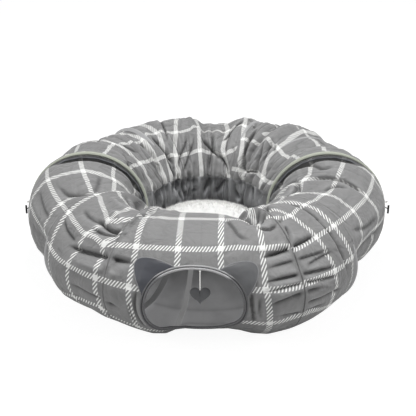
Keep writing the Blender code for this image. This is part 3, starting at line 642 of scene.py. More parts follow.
def skin(theta, phi, half, number, depth=0.0, folded=True):
    # a point of the tunnel: a flattened tube round the ring, less the cloth's depth there
    deep = depth + (clothDepth(theta, phi, half, number)[0] if folded else 0)
    gate = gateShare(theta)
    rear = smooth((ring["rearReach"] - np.abs(theta - ring["rearMiddle"])) / ring["rearEase"])
    tall = mix(mix(ring["halfHeight"], ring["rearHeight"], rear), ring["gateRadius"], gate)
    width = mix(ring["halfWidth"], ring["gateRadius"], gate) - deep
    radius = ring["radius"] + width * cosine(phi)
    x, y = radius * cosine(theta), radius * sine(theta)
    z = np.maximum(tall - ring["floorFlat"] + (tall - deep) * sine(phi), depth)
    a, b = slotEnds(half, number)
    for end, other in ((a, b), (b, a)):
        if end % 180 == 0:
            share = 1 - (theta - end) / (other - end)
            y = y + ring["gateHalfGap"] * share ** 2 * (1 if half == "rear" else -1)
    return np.stack([x, y, z + 0 * x], -1)

def outwardOf(theta, phi):
    return np.stack([cosine(theta) * cosine(phi), sine(theta) * cosine(phi), sine(phi) + 0 * theta], -1)

def foldWithSlot(piece):
    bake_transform(piece)

stripeRows = [-30, 15, 45, 75, 105, 135, 165]  # angles round the tube, for each stripe's places below
crossStripes = {
    ("front", 1): (0, [[189, 190, 190, 193, 195, 202, 208], [208, 207, 206, 207, 211, 216, 222]]),
    ("front", 2): (2, [[217, 215.5, 214, 213, 211, 209, 207], [226, 226, 228, 233, 236, 238, 240],
                       [238, 237, 236.5, 244, 250, 254, 258]]),
    ("front", 3): (4, [[236, 235, 234, 231, 226, 218, 208], [249, 248, 247.5, 245, 242, 236, 228],
                       [261, 261, 261, 260, 258, 256, 252], [274, 274, 274, 275, 277, 279, 282]]),
    ("front", 4): (6, [[261, 261, 261, 260, 258, 256, 252], [274, 274, 274, 275, 277, 279, 282],
                       [288, 286, 287, 289.5, 293, 298, 304], [300, 299, 299, 302, 308, 316, 324]]),
    ("front", 5): (0, [[297, 298, 298, 294, 290, 286, 282], [308.5, 309, 307.5, 305, 301, 297, 293],
                       [318, 318, 316.5, 316.5, 314, 310, 306]]),
    ("front", 6): (2, [[324, 326, 330.5, 332, 329, 325, 320], [341, 342, 343, 344, 343, 340, 336],
                       [356, 355, 357.5, 358, 356, 354, 350]]),
    ("rear", 1): (0, [[150, 150, 150, 150, 150, 150.5, 154], [161, 161, 161, 170, 181, 184, 186]]),
    ("rear", 2): (0, [[133, 133, 133, 133, 131, 134, 134], [150, 150, 150, 150, 150, 150.5, 154]]),
    ("rear", 3): (0, [[101, 102, 103, 104.5, 109, 115, 118.5], [121, 121, 121, 120.5, 119.5, 124, 127],
                      [134, 134, 134, 133.5, 132, 136, 138]]),
    ("rear", 4): (0, [[75, 74, 73, 71.5, 68, 62.5, 56], [83, 82, 82, 81, 78, 78, 69],
                      [96, 96, 96, 95.5, 95, 96, 95.5], [105, 105, 105, 105, 109, 115, 118.5]]),
    ("rear", 5): (0, [[42, 41, 40, 40, 37, 37, 29], [53, 53, 53, 54, 56, 54, 50],
                      [75, 74, 73, 71.5, 68, 62.5, 56]]),
    ("rear", 6): (0, [[42, 41, 40, 40, 37, 37, 29], [66, 65, 64, 64, 61, 61, 53]]),
}
ringStripes = {  # angles round the ring, then each ring stripe's angle round the tube there
    "left": ([180, 200, 208, 215, 222, 227, 232, 236, 240],
             [[-28, -28, -28, -28, -28, -25, -22, -20, -24], [20, 20, 20, 18, 13, 12, 12, 12, 12],
              [50, 54, 56, 55, 50, 46, 47, 43, 46], [85, 88, 87, 88, 81, 75, 66, 69, 78],
              [120, 116, 110, 110, 108, 104, 100, 102, 112], [152, 152, 150, 148, 146, 144, 142, 142, 146]]),
    "middle": ([240, 246, 256, 265, 280, 288, 297],
               [[-30, -34, -40, -40, -26, -24, -19], [12, 12, 13, 14, 14, 12, 11],
                [46, 49, 52, 53, 54, 50, 47], [84, 87, 90, 93, 92, 88, 84],
                [118, 122, 126, 128, 126, 122, 118], [152, 156, 160, 162, 160, 156, 152]]),
    "right": ([297, 301, 306, 312, 320, 328, 334, 341, 346, 360],
              [[-19, -21, -25, -31, -34, -34, -32, -30, -30, -30], [12, 12, 12, 13, 16, 18, 17, 12, 8, 4],
               [43, 45, 48, 50, 52, 53, 51, 47, 45, 41], [82, 78, 80, 86, 85, 86, 82, 81, 80, 75],
               [118, 117, 116, 116, 116, 110, 113, 115, 109, 109],
               [152, 152, 150, 150, 150, 148, 150, 152, 150, 150]]),
    "rearLeft": ([67, 74, 79, 88, 95, 100, 110, 118, 124, 132, 140, 148, 159, 180],
                 [[60, 62, 66, 66, 64, 66, 70, 66, 62, 68, 66, 62, 64, 70],
                  [96, 101, 106, 101, 100, 106, 111, 101, 98, 106, 102, 96, 101, 108],
                  [132, 140, 142, 138, 137, 138, 140, 138, 138, 138, 135, 132, 134, 137],
                  [170, 174, 176, 174, 172, 172, 176, 174, 174, 172, 170, 170, 170, 172]]),
    "rearRight": ([0, 10, 20, 30, 42, 50, 56, 67],
                  [[44, 44, 42, 40, 36, 32, 30, 28], [90, 90, 84, 78, 74, 68, 66, 64],
                   [120, 120, 120, 120, 116, 113, 119, 119], [154, 157, 156, 154, 152, 155, 156, 156]]),
}
ringGroup = {("front", 1): "left", ("front", 2): "left", ("front", 3): "middle",
             ("front", 4): "middle", ("front", 5): "right", ("front", 6): "right",
             ("rear", 1): "rearLeft", ("rear", 2): "rearLeft", ("rear", 3): "rearLeft",
             ("rear", 4): "rearLeft", ("rear", 5): "rearRight", ("rear", 6): "rearRight"}

def countStripes(value, marks, first):
    # how many stripes lie below a value, with the share of the way to the next one
    count = first + np.zeros_like(value)
    last = len(marks) - 2
    for k in range(last + 1):
        part = (value - marks[k]) / (marks[k + 1] - marks[k])
        count = count + np.clip(part, -0.5 if k == 0 else 0, 1.5 if k == last else 1)
    return count

def strokePlace(theta, phi):  # the same cloth in even units, for the slanted strokes
    return np.stack([np.radians(theta) * 400, np.radians(phi) * 140], -1) / plaid["pitch"]

def plaidPlace(theta, phi, half, number):
    first, places = crossStripes[half, number]
    marks = [np.interp(phi, stripeRows, row) for row in places]
    across = countStripes(theta, marks, first)
    nodes, rows = ringStripes[ringGroup[half, number]]
    up = countStripes(phi, [np.interp(theta, nodes, row) for row in rows], 0)
    return np.stack([across, up], -1)

grid = dict(columns=110, rows=200, baseRows=68, holeRows=26, sideRows=92, upperRows=102, lowerRows=10)

def slopes(values, points):
    # how fast a value grows on the surface, in units to the metre, from its change along both grid lines
    alongU, alongV = np.gradient(points, axis=1), np.gradient(points, axis=0)
    valueU, valueV = np.gradient(values, axis=1), np.gradient(values, axis=0)
    e, f, g = ((x * y).sum(-1) for x, y in ((alongU, alongU), (alongU, alongV), (alongV, alongV)))
    square = (g * valueU ** 2 - 2 * f * valueU * valueV + e * valueV ** 2) / np.maximum(e * g - f * f, 1e-15)
    return np.sqrt(np.maximum(square, 0))

def cavity(points, out):
    # how far each point lies under or over the cloth just round it, along the outward normal: 1 in a
    # valley 2 mm below it, and 1 on a ridge 1.3 mm above it; these set painted shade and painted highlight
    normal = unit(np.cross(np.gradient(points, axis=1), np.gradient(points, axis=0)))
    normal = normal * np.sign((normal * out).sum(-1, keepdims=True))
    level = points
    for _ in range(6):
        for axis in (0, 1):
            padded = np.pad(level, [(1, 1) if k == axis else (0, 0) for k in range(3)], "reflect",
                            reflect_type="odd")
            before, after = np.take(padded, range(padded.shape[axis] - 2), axis), np.take(
                padded, range(2, padded.shape[axis]), axis)
            level = 0.5 * level + 0.25 * (before + after)
    bend = ((level - points) * normal).sum(-1) / mm
    return np.clip(bend / 2.0, 0, 1), np.clip(-bend / 1.3, 0, 1)

def seamPlace(theta, phi, half, number):  # distance from the nearest sewn hoop and along it, in 100 mm
    perDegree = ringMm(phi)
    far = np.full(theta.shape, 1e3)
    for end in slotEnds(half, number):
        if end % 180 and end != windowSeam:  # only the tight seam shows as a dark line
            far = np.minimum(far, np.abs(theta - end) * perDegree + (0 if end == tightSeam else 1.5))
    return np.stack([np.minimum(far, 90) / 100, phi * tubeMm / 100], -1)

# stripes that run into a fold: the angles round the tube between which a cross stripe is hidden, and
# the stripe's number
hiddenStripes = {("rear", 5): (104, 180, 1), ("front", 4): (-90, 76, 9), ("front", 5): (-90, 64, 0)}

def clothPiece(name, half, number, patches, materials):
    # patches of (theta, phi) grids, welded where they meet
    points, maps, quads, start, shown = [], {}, [], 0, []
    for theta, phi in patches:
        patch = skin(theta, phi, half, number)
        plain = skin(theta, phi, half, number, folded=False)
        out = outwardOf(theta, phi)
        faces = gridQuads(*theta.shape, start=start)
        facing = np.cross(patch[:-1, 1:] - patch[:-1, :-1], patch[1:, :-1] - patch[:-1, :-1])
        if (facing * out[:-1, :-1]).sum() < 0:
            faces = faces[:, ::-1]
        stripes = plaidPlace(theta, phi, half, number)
        gauge = np.stack([slopes(stripes[..., k], plain) * 10 * mm for k in (0, 1)], -1)
        gauge = gauge * (1 - 0.15 * smooth((np.abs(theta - windowSeam) - 30) / 12))[..., None]
        if (half, number) in hiddenStripes:
            low, high, line = hiddenStripes[half, number]
            gauge[..., 0] *= ~((np.abs(stripes[..., 0] - line) < 0.5) & (phi > low) & (phi < high))
        seam = seamPlace(theta, phi, half, number)
        # painted shade in the valleys and painted highlight on the ridges, the highlight kept off the seams
        valley, ridge = cavity(patch, out)
        paintedShading = np.maximum(clothDepth(theta, phi, half, number)[1], valley)
        ridge = ridge * smooth(seam[..., 0] * 100 / 12)
        layers = dict(plaid=stripes, strokes=strokePlace(theta, phi), gauge=gauge, seam=seam,
                      paintedShading=np.stack([paintedShading, ridge], -1))
        for key, value in layers.items():
            maps.setdefault(key, []).append(value.reshape(-1, 2))
        shown.append(patch)
        points.append(patch.reshape(-1, 3))
        quads.append(faces)
        start += theta.size
    points, quads = np.concatenate(points), np.concatenate(quads)
    _, first, back = np.unique(np.round(points, 6), axis=0, return_index=True, return_inverse=True)
    piece = meshFromArrays(name, points[first], back.ravel()[quads],
                           {key: np.concatenate(value)[first] for key, value in maps.items()})
    for material in materials:
        piece.data.materials.append(material)
    addModifier(piece, "SOLIDIFY", thickness=ring["cloth"], offset=-1, material_offset=1,
                material_offset_rim=0, use_even_offset=False)
    return piece

def coverGrid(columns, low, high, rows):
    return np.meshgrid(columns, np.linspace(low, high, rows + 1))

# the window: its outline is a rounded oblong in x and the angle round the tube
window = dict(x=-0.0265, halfWidth=0.109, middle=-3.7, halfAngle=38.7, roundness=0.93, rim=3.5 * mm,
              top=56.0, bottom=-50.0, wallMm=7.9)

def onFront(x, phi):  # angle round the ring of a place on the front wall with a given x
    return 270 + np.degrees(np.arcsin(x / (ring["radius"] + ring["halfWidth"] * cosine(phi))))

def windowEdge(turn, grow=0.0):  # (x, phi) round the opening, turn in degrees from its right side up
    across = np.sign(cosine(turn)) * np.abs(cosine(turn)) ** window["roundness"]
    up = np.sign(sine(turn)) * np.abs(sine(turn)) ** window["roundness"]
    return (window["x"] + (window["halfWidth"] + grow) * across,
            window["middle"] + (window["halfAngle"] + math.degrees(grow / ring["halfHeight"])) * up)

def windowLine(turn, grow=0.0):  # the same as (theta, phi)
    x, phi = windowEdge(turn, grow)
    return onFront(x, phi), phi

def windowPatches(number, columns):
    # above and below the opening: plain grids. Round it: rows that spread from its edge to a frame
    high, low = window["top"], window["bottom"]
    side, middle = (columns[0], columns[-1]) if number == 3 else (columns[-1], columns[0])
    order = columns if columns[0] == middle else columns[::-1]  # from the middle out
    sideRows = np.linspace(high, low, grid["sideRows"])[1:-1]
    theta = np.concatenate([order, np.full(len(sideRows), side), order[::-1]])
    phi = np.concatenate([np.full(len(order), high), sideRows, np.full(len(order), low)])
    # the opening's edge is found at the same angle about a centre on the middle line
    turn = np.linspace(0, 360, 3601)
    edgeTheta, edgePhi = windowLine(turn, window["rim"] * 0.6)

    def about(t, p):
        return np.degrees(np.arctan2((p - window["middle"]) * tubeMm, (t - middle) * window["wallMm"])) % 360

    edgeTurn = about(edgeTheta, edgePhi)
    sort = np.argsort(edgeTurn)
    outTurn = about(theta, phi)
    inTheta = np.interp(outTurn, edgeTurn[sort], edgeTheta[sort], period=360)
    inPhi = np.interp(outTurn, edgeTurn[sort], edgePhi[sort], period=360)
    inTheta[[0, -1]] = middle
    share = (np.linspace(0, 1, grid["holeRows"] + 1) ** 1.15)[:, None]
    ringPatch = (mix(inTheta[None], theta[None], share), mix(inPhi[None], phi[None], share))
    return [ringPatch, coverGrid(columns, high, ring["coverHigh"], grid["upperRows"]),
            coverGrid(columns, ring["coverLow"], low, grid["lowerRows"])]

def makePanel(name, node, outer, half, number, patches):
    piece = clothPiece(f"{name}_{half}_{number}", half, number, patches, [outer, lining])
    foldWithSlot(piece)
    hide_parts(f"{node}_{half}_{number}")

for half in ("front", "rear"):
    for number in range(1, 7):
        columns = np.linspace(*slotEnds(half, number), grid["columns"] + 1)
        patches = [coverGrid(columns, ring["coverLow"], ring["coverHigh"], grid["rows"])]
        if half == "front" and number in (3, 4):
            patches = windowPatches(number, columns)
        makePanel("plaidPanel", "cover", cloth, half, number, patches)
        patches = [coverGrid(columns, ring["coverHigh"], ring["coverLow"] + 360, grid["baseRows"])]
        makePanel("basePanel", "base", baseCloth, half, number, patches)
print("cloth panels made")

casing = dict(bottom=1.0, wide=8.0, thick=8.2)  # mm: a sewn channel on the inner side, over each wire

def makeCasing(half, place):
    # carried along the wire: narrow by the cloth, wide and rounded on the inner side
    phi = degreesRound(180)
    theta = np.full(len(phi), float(stations[half][place]))
    path = skin(theta, phi, half, place, folded=False)
    path[:, 2] = np.maximum(path[:, 2], 0.3 * mm)
    side = np.array([-2.0, -3.4, -4.6, -6.6, -7.5, -6.2, -3.5, 0, 3.5, 6.2, 7.5, 6.6, 4.6, 3.4, 2.0]) / 7.5
    deep = np.array([0.0, 1.6, 2.9, 3.9, 4.5, 5.1, 5.4, 5.4, 5.4, 5.1, 4.5, 3.9, 2.9, 1.6, 0.0]) / 5.4
    rise = casing["bottom"] + deep * casing["thick"]
    profile = np.stack([side * casing["wide"] * mm, -rise * mm], -1)
    band = sweep(f"hoopCasing_{half}_{place}", path, outwardOf(theta, phi), profile, casingCloth,
                 closed=True)
    settle(band, chains[half][place])

for half in ("front", "rear"):
    for place in range(1, 6):
        if (half, place) != ("front", 3):
            makeCasing(half, place)

def makeWelt():
    # a taped seam across the lining behind the window, from the inner wall down over the floor
    rows = 140
    theta, phi = np.linspace(255.3, 258.6, rows), np.linspace(104, 296, rows)
    path = skin(theta, phi, "front", 3, 2.4 * mm)
    profile = np.array([[-6.4, 0], [-5.8, -1.6], [-4.2, -1.8], [-3, -1], [5, -1.2], [6.2, 0], [0, 0.6]]) * mm
    welt = sweep("liningWelt_front", path, outwardOf(theta, phi), profile, weltCloth)
    foldWithSlot(welt)

makeWelt()
print("hoop casings made")

def rimHalf(name, number, grow, lift, radius, material, squash=1.0):
    # half of a piping round the opening, cut where two panels meet
    turn = degreesRound(720)
    theta, phi = windowLine(turn, grow)
    inside = theta <= windowSeam if number == 3 else theta >= windowSeam
    start = int(np.argmax(inside & ~np.roll(inside, 1)))
    order = (start + np.arange(int(inside.sum()))) % len(turn)
    theta, phi = theta[order], phi[order]
    theta[[0, -1]] = windowSeam
    path = skin(theta, phi, "front", number, -lift)
    return sweep(name, path, outwardOf(theta, phi), circle(radius, 14, squash), material)

for number, side in ((3, "left"), (4, "right")):
    # each pipe's place past the opening's edge, its lift off the cloth and its radius, in mm
    pipes = [rimHalf(f"windowRim{name}_{side}", number, grow * mm, lift * mm, radius * mm, *look)
             for name, grow, lift, radius, *look in (("Inner", -0.6, 0.6, 2.7, rimCloth),
                                                     ("Outer", 5.2, 0.8, 2.2, rimCloth),
                                                     ("Welt", 2.2, 0.0, 3.4, darkPiping, 0.45))]
    for pipe in pipes:
        foldWithSlot(pipe)
    if number == 4:
        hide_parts("window_rim")

ears = dict(left=dict(corner=110, end=166, number=3, towards=[(-0.108, 43), (-0.2004, 49)]),
            right=dict(corner=64, end=12, number=4, towards=[(0.0555, 43), (0.1554, 47.5)]))

def earSeam(facts, share):  # where the flap is sewn on, just outside the rim
    return windowEdge(mix(facts["corner"], facts["end"], share), window["rim"] + 2.4 * mm)

def earEdge(facts, share):  # a cubic curve from seam to seam, drawn towards two places beyond the tip
    places = [earSeam(facts, 0.02), *facts["towards"], earSeam(facts, 0.98)]
    parts = ((1 - share) ** 3, 3 * share * (1 - share) ** 2, 3 * share ** 2 * (1 - share), share ** 3)
    return tuple(sum(part * place[k] for part, place in zip(parts, places)) for k in (0, 1))

def makeEar(side):
    facts = ears[side]
    share, out = np.linspace(0, 1, 65)[:, None], np.linspace(0, 1, 33)[None]
    seam, edge = earSeam(facts, share), earEdge(facts, share)
    x, phi = (mix(seam[k], edge[k], out) for k in (0, 1))
    theta = onFront(x, phi)
    puff = 1.4 * mm + 2.2 * mm * np.sin(np.pi * out) * np.sin(np.pi * share) + 0.5 * mm * lattice(
        share * 9, out * 5, 21)
    flap = gridPiece(f"ear_{side}_flap", skin(theta, phi, "front", facts["number"], -puff),
                     earCloth[side], {"length": together(share, out)}, outward=outwardOf(theta, phi))
    addModifier(flap, "SOLIDIFY", thickness=1.3 * mm, offset=1)
    x, phi = edge[0][:, 0], edge[1][:, 0]
    theta = onFront(x, phi)
    line = skin(theta, phi, "front", facts["number"], -2.0 * mm)
    piping = sweep(f"ear_{side}_piping", line, outwardOf(theta, phi), circle(1.5 * mm, 10), earPiping,
                   scale=roundEnds(len(line), 4))
    for one in (flap, piping):
        foldWithSlot(one)
    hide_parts(f"ear_{side}")

makeEar("left")
makeEar("right")
print("window rim and ears made")

# the toy: its string is the one cord
toy = dict(x=-0.0158, y=-0.42415, knot=0.19558, top=0.19328, length=0.045, radius=1.0 * mm,
           width=0.046, height=0.042, thick=0.017, notch=0.14433)

def makeToy():
    path = together(toy["x"], toy["y"], np.linspace(toy["top"], toy["top"] - toy["length"], 41))
    back = np.tile([0.0, 1.0, 0.0], (len(path), 1))
    string = sweep("toyString_cord", path, back, circle(toy["radius"], 12), stringCotton)
    settle(string, "toy", "toy_string")
    # the heart: shrinking copies of its outline from the middle to the front and back
    turn, layer = turns(120)[None], np.pi * (np.arange(45)[:, None] / 44)
    size = np.maximum(np.sin(layer), 0.001) ** 0.8
    outX = np.sin(turn) ** 3 / 2
    outZ = (13 * np.cos(turn) - 5 * np.cos(2 * turn) - 2 * np.cos(3 * turn) - np.cos(4 * turn) - 5) / 29
    middle = -0.42  # the height the outline shrinks to, as a share of the heart's own
    crease = 1 - 0.05 * np.exp(-((layer - np.pi / 2) / 0.07) ** 2)
    x = toy["x"] + outX * size * toy["width"] * crease
    y = toy["y"] - np.cos(layer) * toy["thick"] / 2 * (1 + 0.03 * lattice(turn * 3, layer * 3, 31))
    z = toy["notch"] + (middle + (outZ - middle) * size * crease) * toy["height"]
    heart = gridPiece("toyHeart_felt", together(x, y, z), heartFelt, wrapColumns=True)
    settle(heart, "toy", "toy_heart")
    # the knot: a lumpy ball of string, and the tab it hangs from
    turn, down = turns(24)[None], np.pi * (np.arange(17)[:, None] / 16)
    lump = 2.0 * mm * (1 + 0.12 * np.sin(3 * turn + 4 * down))
    ball = together(toy["x"] + lump * np.sin(down) * np.cos(turn),
                    toy["y"] + lump * np.sin(down) * np.sin(turn), toy["knot"] + lump * np.cos(down))
    knot = gridPiece("toyKnot_string", ball, stringCotton,
                     {"length": together(down * 2 * mm, turn / 6.283)}, wrapColumns=True)
    settle(knot, "toy_knot", "toy_knot")
    low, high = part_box("toy_tab")
    path = together(toy["x"], toy["y"], np.linspace(low[2], high[2] + 0.6 * mm, 17))
    tab = sweep("toyTab_tape", path, back[:17], circle(2.4 * mm, 14, 0.45), whiteTape)
    settle(tab, "window", "toy_tab")

makeToy()
print("toy made")

zipFacts = dict(tapeRadius=0.1443, height=0.146, teethPitch=2.2 * mm, teethStart=9.0, teethEnd=333.0,
                tapeLength=0.907, bindingLength=0.942, pipingRadius=0.1478, pipingOff=0.0096,
                tailStart=-7, tailLength=0.030)

def gatePoint(way, turn, radius, y):  # way 1 is the left zip, -1 the right; turn from its inner side up
    x = way * (radius * cosine(turn) - ring["radius"])
    return together(x, y, zipFacts["height"] + radius * sine(turn))

def makeTape(half, where, way, side, body):
    turn = degreesRound(360)
    path = gatePoint(way, turn, zipFacts["tapeRadius"], 0.0)
    up = unit(path - np.array([-way * ring["radius"], 0, zipFacts["height"]]))
    y = side * np.array([1.2, 3.2, 5.2, 7.4, 10.2, 10.2, 7.4, 5.2, 3.2, 1.2]) * mm
    thick = np.array([0.5, 0.6, 0.6, 0.7, 0.8, -0.6, -0.6, -0.6, -0.6, -0.5]) * mm
    points = path[:, None] + np.array([0, 1.0, 0]) * y[None, :, None] + up[:, None] * thick[None, :, None]
    length = together((turn / 360 * zipFacts["tapeLength"])[:, None], (y / 0.01)[None])
    tape = gridPiece(f"zipTape_{half}_{where}", points, darkTape, {"length": length}, True, True)
    settle(tape, body, f"zip_tape_{half}_{where}")
    # the coil: one small bent loop for each tooth
    start, end, reach = zipFacts["teethStart"], zipFacts["teethEnd"], zipFacts["tapeRadius"]
    count = int(reach * math.radians(end - start) / zipFacts["teethPitch"])
    place = mix(start, end, np.arange(count) / (count - 1))[:, None, None]
    bend, around, wire = np.linspace(0, 1, 6)[None, :, None], turns(6)[None, None], 0.42 * mm
    inY = side * (mix(3.4, 0.95, np.sin(np.pi * bend / 2) ** 0.7) * mm)
    angle = place + math.degrees(0.5 * mm / reach) * np.cos(np.pi * bend) + np.degrees(
        wire * np.cos(around) / reach)
    radius = reach + (1.15 * np.sin(np.pi * bend)) * mm + wire * np.sin(around)
    coil = gatePoint(way, angle, radius, inY)
    teeth = manyTubes(f"zipCoil_{half}_{where}", coil, coil - coil.mean(axis=2, keepdims=True), teethNylon)
    settle(teeth, body)

def makeTail(where, way, body):  # the white tape end below the parked slider
    start, long, rows = zipFacts["tailStart"], zipFacts["tailLength"], 31
    turn = np.linspace(start, start - math.degrees(long / zipFacts["tapeRadius"]), rows)
    y = -np.array([0.8, 3.4, 6.0, 8.8, 8.8, 6.0, 3.4, 0.8]) * mm
    thick = np.array([1.1, 1.2, 1.2, 1.1, 0, 0, 0, 0]) * mm
    lift = 1.2 * mm * np.sin(np.linspace(0, np.pi, rows)) ** 2
    radius = zipFacts["tapeRadius"] + 0.9 * mm + thick[None] + lift[:, None]
    length = together(np.linspace(0, long, rows)[:, None], y[None] * 100)
    tail = gridPiece(f"zipTail_{where}", gatePoint(way, turn[:, None], radius, y[None]), whiteTape,
                     {"length": length}, False, True)
    settle(tail, body, f"zip_tail_{where}")

def makePiping(half, where, way, side, body):
    # behind, the zip's tape is turned over the end hoop as a binding; in front a thin welt closes the edge
    turn = degreesRound(360)
    off = side * zipFacts["pipingOff"]
    path = gatePoint(way, turn, zipFacts["pipingRadius"], off)
    up = unit(path - np.array([-way * ring["radius"], off, zipFacts["height"]]))
    path[:, 2] = np.maximum(path[:, 2], 3.4 * mm)
    if half == "front":
        piping = sweep(f"zipPiping_{half}_{where}", path, up, circle(1.3 * mm, 12), darkPiping,
                       closed=True)
    else:
        y = np.array([1.6, 2.8, 4.4, 6.4, 8.4, 10.0, 11.0, 10.2, 8.4, 6.6, 4.6, 2.6]) * mm
        radius = np.array([145.2, 148.4, 150.8, 152.3, 152.7, 151.9, 150.4, 150.0, 150.6, 150.2, 148.6,
                           145.6]) * mm
        # on the outer side the binding is slim and sits lower
        slim = smooth((np.abs((turn - 190 + 180) % 360 - 180) - 55) / 50)[:, None]
        y, radius = y[None] * mix(0.55, 1.0, slim), mix(147.0 * mm, radius[None], mix(0.6, 1.0, slim))
        points = gatePoint(way, turn[:, None], radius, y)
        points[..., 2] = np.maximum(points[..., 2], 1.0 * mm)
        length = together((turn / 360 * zipFacts["bindingLength"])[:, None], y / 0.012)
        piping = gridPiece(f"zipPiping_{half}_{where}", points, tapeCloth, {"length": length}, True, True)
    settle(piping, body)

for where, way in (("left", 1), ("right", -1)):
    for half, side in (("front", -1), ("rear", 1)):
        body = "left_gate" if where == "left" else f"right_gate_{half}"
        makeTape(half, where, way, side, body)
        makePiping(half, where, way, side, body)
    makeTail(where, way, "left_gate" if where == "left" else "right_gate_front")
print("zips made")

def outerSide(way, y, out):  # a place out from the cloth's outer side by a zip
    turn = math.degrees(1) * (np.abs(y) - ring["gateHalfGap"]) / (ring["radius"] + ring["gateRadius"])
    theta = 180 - np.sign(y) * turn if way == 1 else np.where(y > 0, turn, 360 - turn)
    phi = mix(ring["coverLow"], ring["coverHigh"], 4 / 14)
    point = skin(theta, phi + 0 * theta, "rear", 1 if way == 1 else 6, folded=False)
    point[..., 0] -= way * out
    return point

def makeLoop(where, way, body):
    turn = np.linspace(0, np.pi, 49)
    y = 0.017 - 0.005 * np.cos(turn)
    path = outerSide(way, y, (0.3 + 11 * np.sin(turn)) * mm)
    loop = sweep(f"tieLoop_{where}_elastic", path, np.tile([0, 0, 1.0], (len(turn), 1)),
                 circle(1.2 * mm, 12), elastic)
    settle(loop, body, f"tie_loop_{where}")

makeLoop("left", 1, "left_gate")
makeLoop("right", -1, "right_gate_rear")

mat = dict(radius=0.151, height=0.112, seam=0.048, drawIn=0.009, crown=0.006, hairs=15000, pile=11.0,
           sideShare=0.3, topShare=0.5)

def matProfile(t):  # from the middle of the top out and down to the seam: radius and height
    out = sine(90 * t)
    turnedIn = mat["drawIn"] * smooth((t - 1) / 0.16)
    r = mat["radius"] * np.clip(out, 0, 1) ** mat["sideShare"] - turnedIn
    up = np.maximum(cosine(90 * np.clip(t, 0, 1)), 0) ** mat["topShare"]
    z = mix(mat["seam"] + mat["drawIn"], mat["height"] - mat["crown"] * out ** 3, up)
    return r, z - turnedIn

def makeMat():
    turn = turns(220)[None]
    across, along = np.cos(turn), np.sin(turn)
    middle = np.arcsin(np.linspace(0, 0.75, 40) ** (1 / mat["sideShare"])) * 2 / np.pi  # even in radius
    t = np.concatenate([middle, np.linspace(middle[-1], 1.16, 71)[1:]])[:, None]
    r, z = matProfile(t)
    x, y = r * across, r * along
    clump = lattice(x / 0.011 + 9, y / 0.011 + 9, 41) * 2.2 + lattice(x / 0.005, y / 0.005, 42) * 1.0
    clump = clump * smooth((1.1 - t) / 0.2) - 2.5
    z = z + clump * mm * (1 - 0.4 * smooth(t))
    r = r + 0.5 * clump * mm * smooth((t - 0.6) / 0.3)
    top = gridPiece("matPlush_top", together(r * across, r * along, z), plushPile, wrapColumns=True,
                    outward=together(across * t, along * t, 1.0))
    settle(top, "mat", "mat_plush")
    # the pile: curved three-sided hairs that lean at random
    random, n = np.random.default_rng(7), mat["hairs"]
    hairT = random.uniform(0, 1, n) ** 0.5 * 1.08
    hairTurn = random.uniform(0, 2 * np.pi, n)
    r, z = matProfile(hairT)
    out = together(np.cos(hairTurn), np.sin(hairTurn), 0.0)
    root = together(r * np.cos(hairTurn), r * np.sin(hairTurn), z - 2.5 * mm)
    sideways = smooth((hairT - 0.55) / 0.5)[:, None]
    grow = unit(mix(np.array([0, 0, 1.0]), out, sideways) + random.normal(0, 0.42, (n, 3)))
    droop = unit(random.normal(0, 1, (n, 3))) * 0.35 - np.array([0, 0, 0.25])
    length = random.uniform(0.5, 1.0, n)[:, None] * mat["pile"] * mm
    share = np.array([0, 0.5, 1.0])[None, :, None]
    spine = root[:, None] + (grow[:, None] * share + droop[:, None] * share ** 2 * 0.5) * length[:, None]
    sideA = unit(np.cross(grow, random.normal(0, 1, (n, 3))))
    sideB = np.cross(grow, sideA)
    around = turns(3)[None, None, :, None]
    ringOut = sideA[:, None, None] * np.cos(around) + sideB[:, None, None] * np.sin(around)
    width = np.array([1.0, 0.7, 0.06])[None, :, None, None] * 0.75 * mm
    hair = spine[:, :, None] + ringOut * width
    settle(manyTubes("matPlush_pile", hair, np.broadcast_to(ringOut, hair.shape), plushPile), "mat")
    # the plain base: drawn in at the seam and at the floor
    t = np.linspace(0, 1, 40)[:, None]
    low, seamR = mat["seam"] - 0.3 * mm, mat["radius"] - mat["drawIn"]
    bulge = np.sin(np.pi * t) ** 0.8
    r = np.concatenate([seamR * np.linspace(0.02, 0.95, 6)[:, None], seamR + mat["drawIn"] * bulge,
                        (seamR - mat["drawIn"]) * np.linspace(0.95, 0.01, 6)[:, None]])
    z = np.concatenate([np.full((6, 1), low), low * (0.5 + 0.5 * np.cos(np.pi * t)), np.zeros((6, 1))])
    r = r + 0.5 * mm * np.sin(40 * turn) * smooth(1 - np.abs(z - low) / 0.012)
    bottom = gridPiece("matBase_cloth", together(r * across, r * along, z), matCloth, wrapColumns=True)
    settle(bottom, "mat", "mat_base")

makeMat()
print("mat made")

def dress(start, material):  # the CAD nodes that stay
    for name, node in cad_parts.items():
        if name.startswith(start):
            node.data.materials.clear()
            node.data.materials.append(material)

for start, material in (("hoop", springSteel), ("zip_slider", darkMetal), ("zip_pull", darkMetal),
                        ("tie_toggle", blackPlastic)):
    dress(start, material)

# the lamps: name, place, width and power
lamps = [("top", (0.1, -0.2, 2.4), 0.5, 42.0), ("key", (-2.1, -1.0, 1.2), 1.2, 14.0),
         ("fill", (2.1, -0.8, 1.2), 1.4, 13.0)]
light = dict(world=0.22, floor=0.93, floorHalf=6.0, floorDrop=0.2 * mm)

def clearNodes(owner):
    owner.use_nodes = True
    owner.node_tree.nodes.clear()
    return owner.node_tree

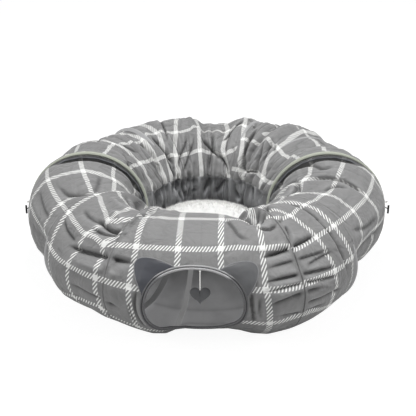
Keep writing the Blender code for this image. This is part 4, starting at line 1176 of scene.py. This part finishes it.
def makeStage():
    # the camera sees a white world and a bright floor, while the object is lit by a dimmer world
    scene = bpy.context.scene
    scene.view_settings.view_transform = "Standard"
    world = bpy.data.worlds.new("studio")
    scene.world = world
    tree = clearNodes(world)
    path = addNode(tree, "LightPath")
    seen = compute(tree, "MAXIMUM", path.outputs["Is Camera Ray"], path.outputs["Is Glossy Ray"])
    seen = compute(tree, "MAXIMUM", seen, path.outputs["Is Transmission Ray"])
    plain = addNode(tree, "Background", Color=(1, 1, 1, 1), Strength=light["world"])
    bright = addNode(tree, "Background", Color=(1, 1, 1, 1), Strength=1.0)
    both = addNode(tree, "MixShader", _0=seen, _1=plain.outputs[0], _2=bright.outputs[0])
    out = addNode(tree, "OutputWorld")
    tree.links.new(both.outputs[0], out.inputs[0])

    material = bpy.data.materials.new("studio floor")
    tree = clearNodes(material)
    path = addNode(tree, "LightPath")
    matt = addNode(tree, "BsdfDiffuse", Color=(0.2, 0.2, 0.2, 1))
    glow = addNode(tree, "Emission", Color=(1, 1, 1, 1), Strength=light["floor"])
    seenFloor = addNode(tree, "AddShader", _0=matt.outputs[0], _1=glow.outputs[0])
    pale = addNode(tree, "BsdfDiffuse", Color=(0.72, 0.72, 0.72, 1))
    total = addNode(tree, "MixShader", _0=path.outputs["Is Camera Ray"], _1=pale.outputs[0],
                    _2=seenFloor.outputs[0])
    out = addNode(tree, "OutputMaterial")
    tree.links.new(total.outputs[0], out.inputs[0])
    corners = np.array([[-1, -1, 0], [1, -1, 0], [1, 1, 0], [-1, 1, 0]]) * light["floorHalf"]
    corners[:, 2] -= light["floorDrop"]
    floor = meshFromArrays("floor", corners, np.array([[0, 1, 2, 3]]), {})
    floor.data.materials.append(material)
    for name, place, size, power in lamps:
        data = bpy.data.lights.new(name, "AREA")
        data.shape = "DISK"
        data.size = size
        data.energy = power
        lamp = bpy.data.objects.new(name, data)
        scene.collection.objects.link(lamp)
        lamp.location = place
        lamp.rotation_euler = (Vector((0, 0, 0.1)) - Vector(place)).to_track_quat("-Z", "Y").to_euler()

makeStage()
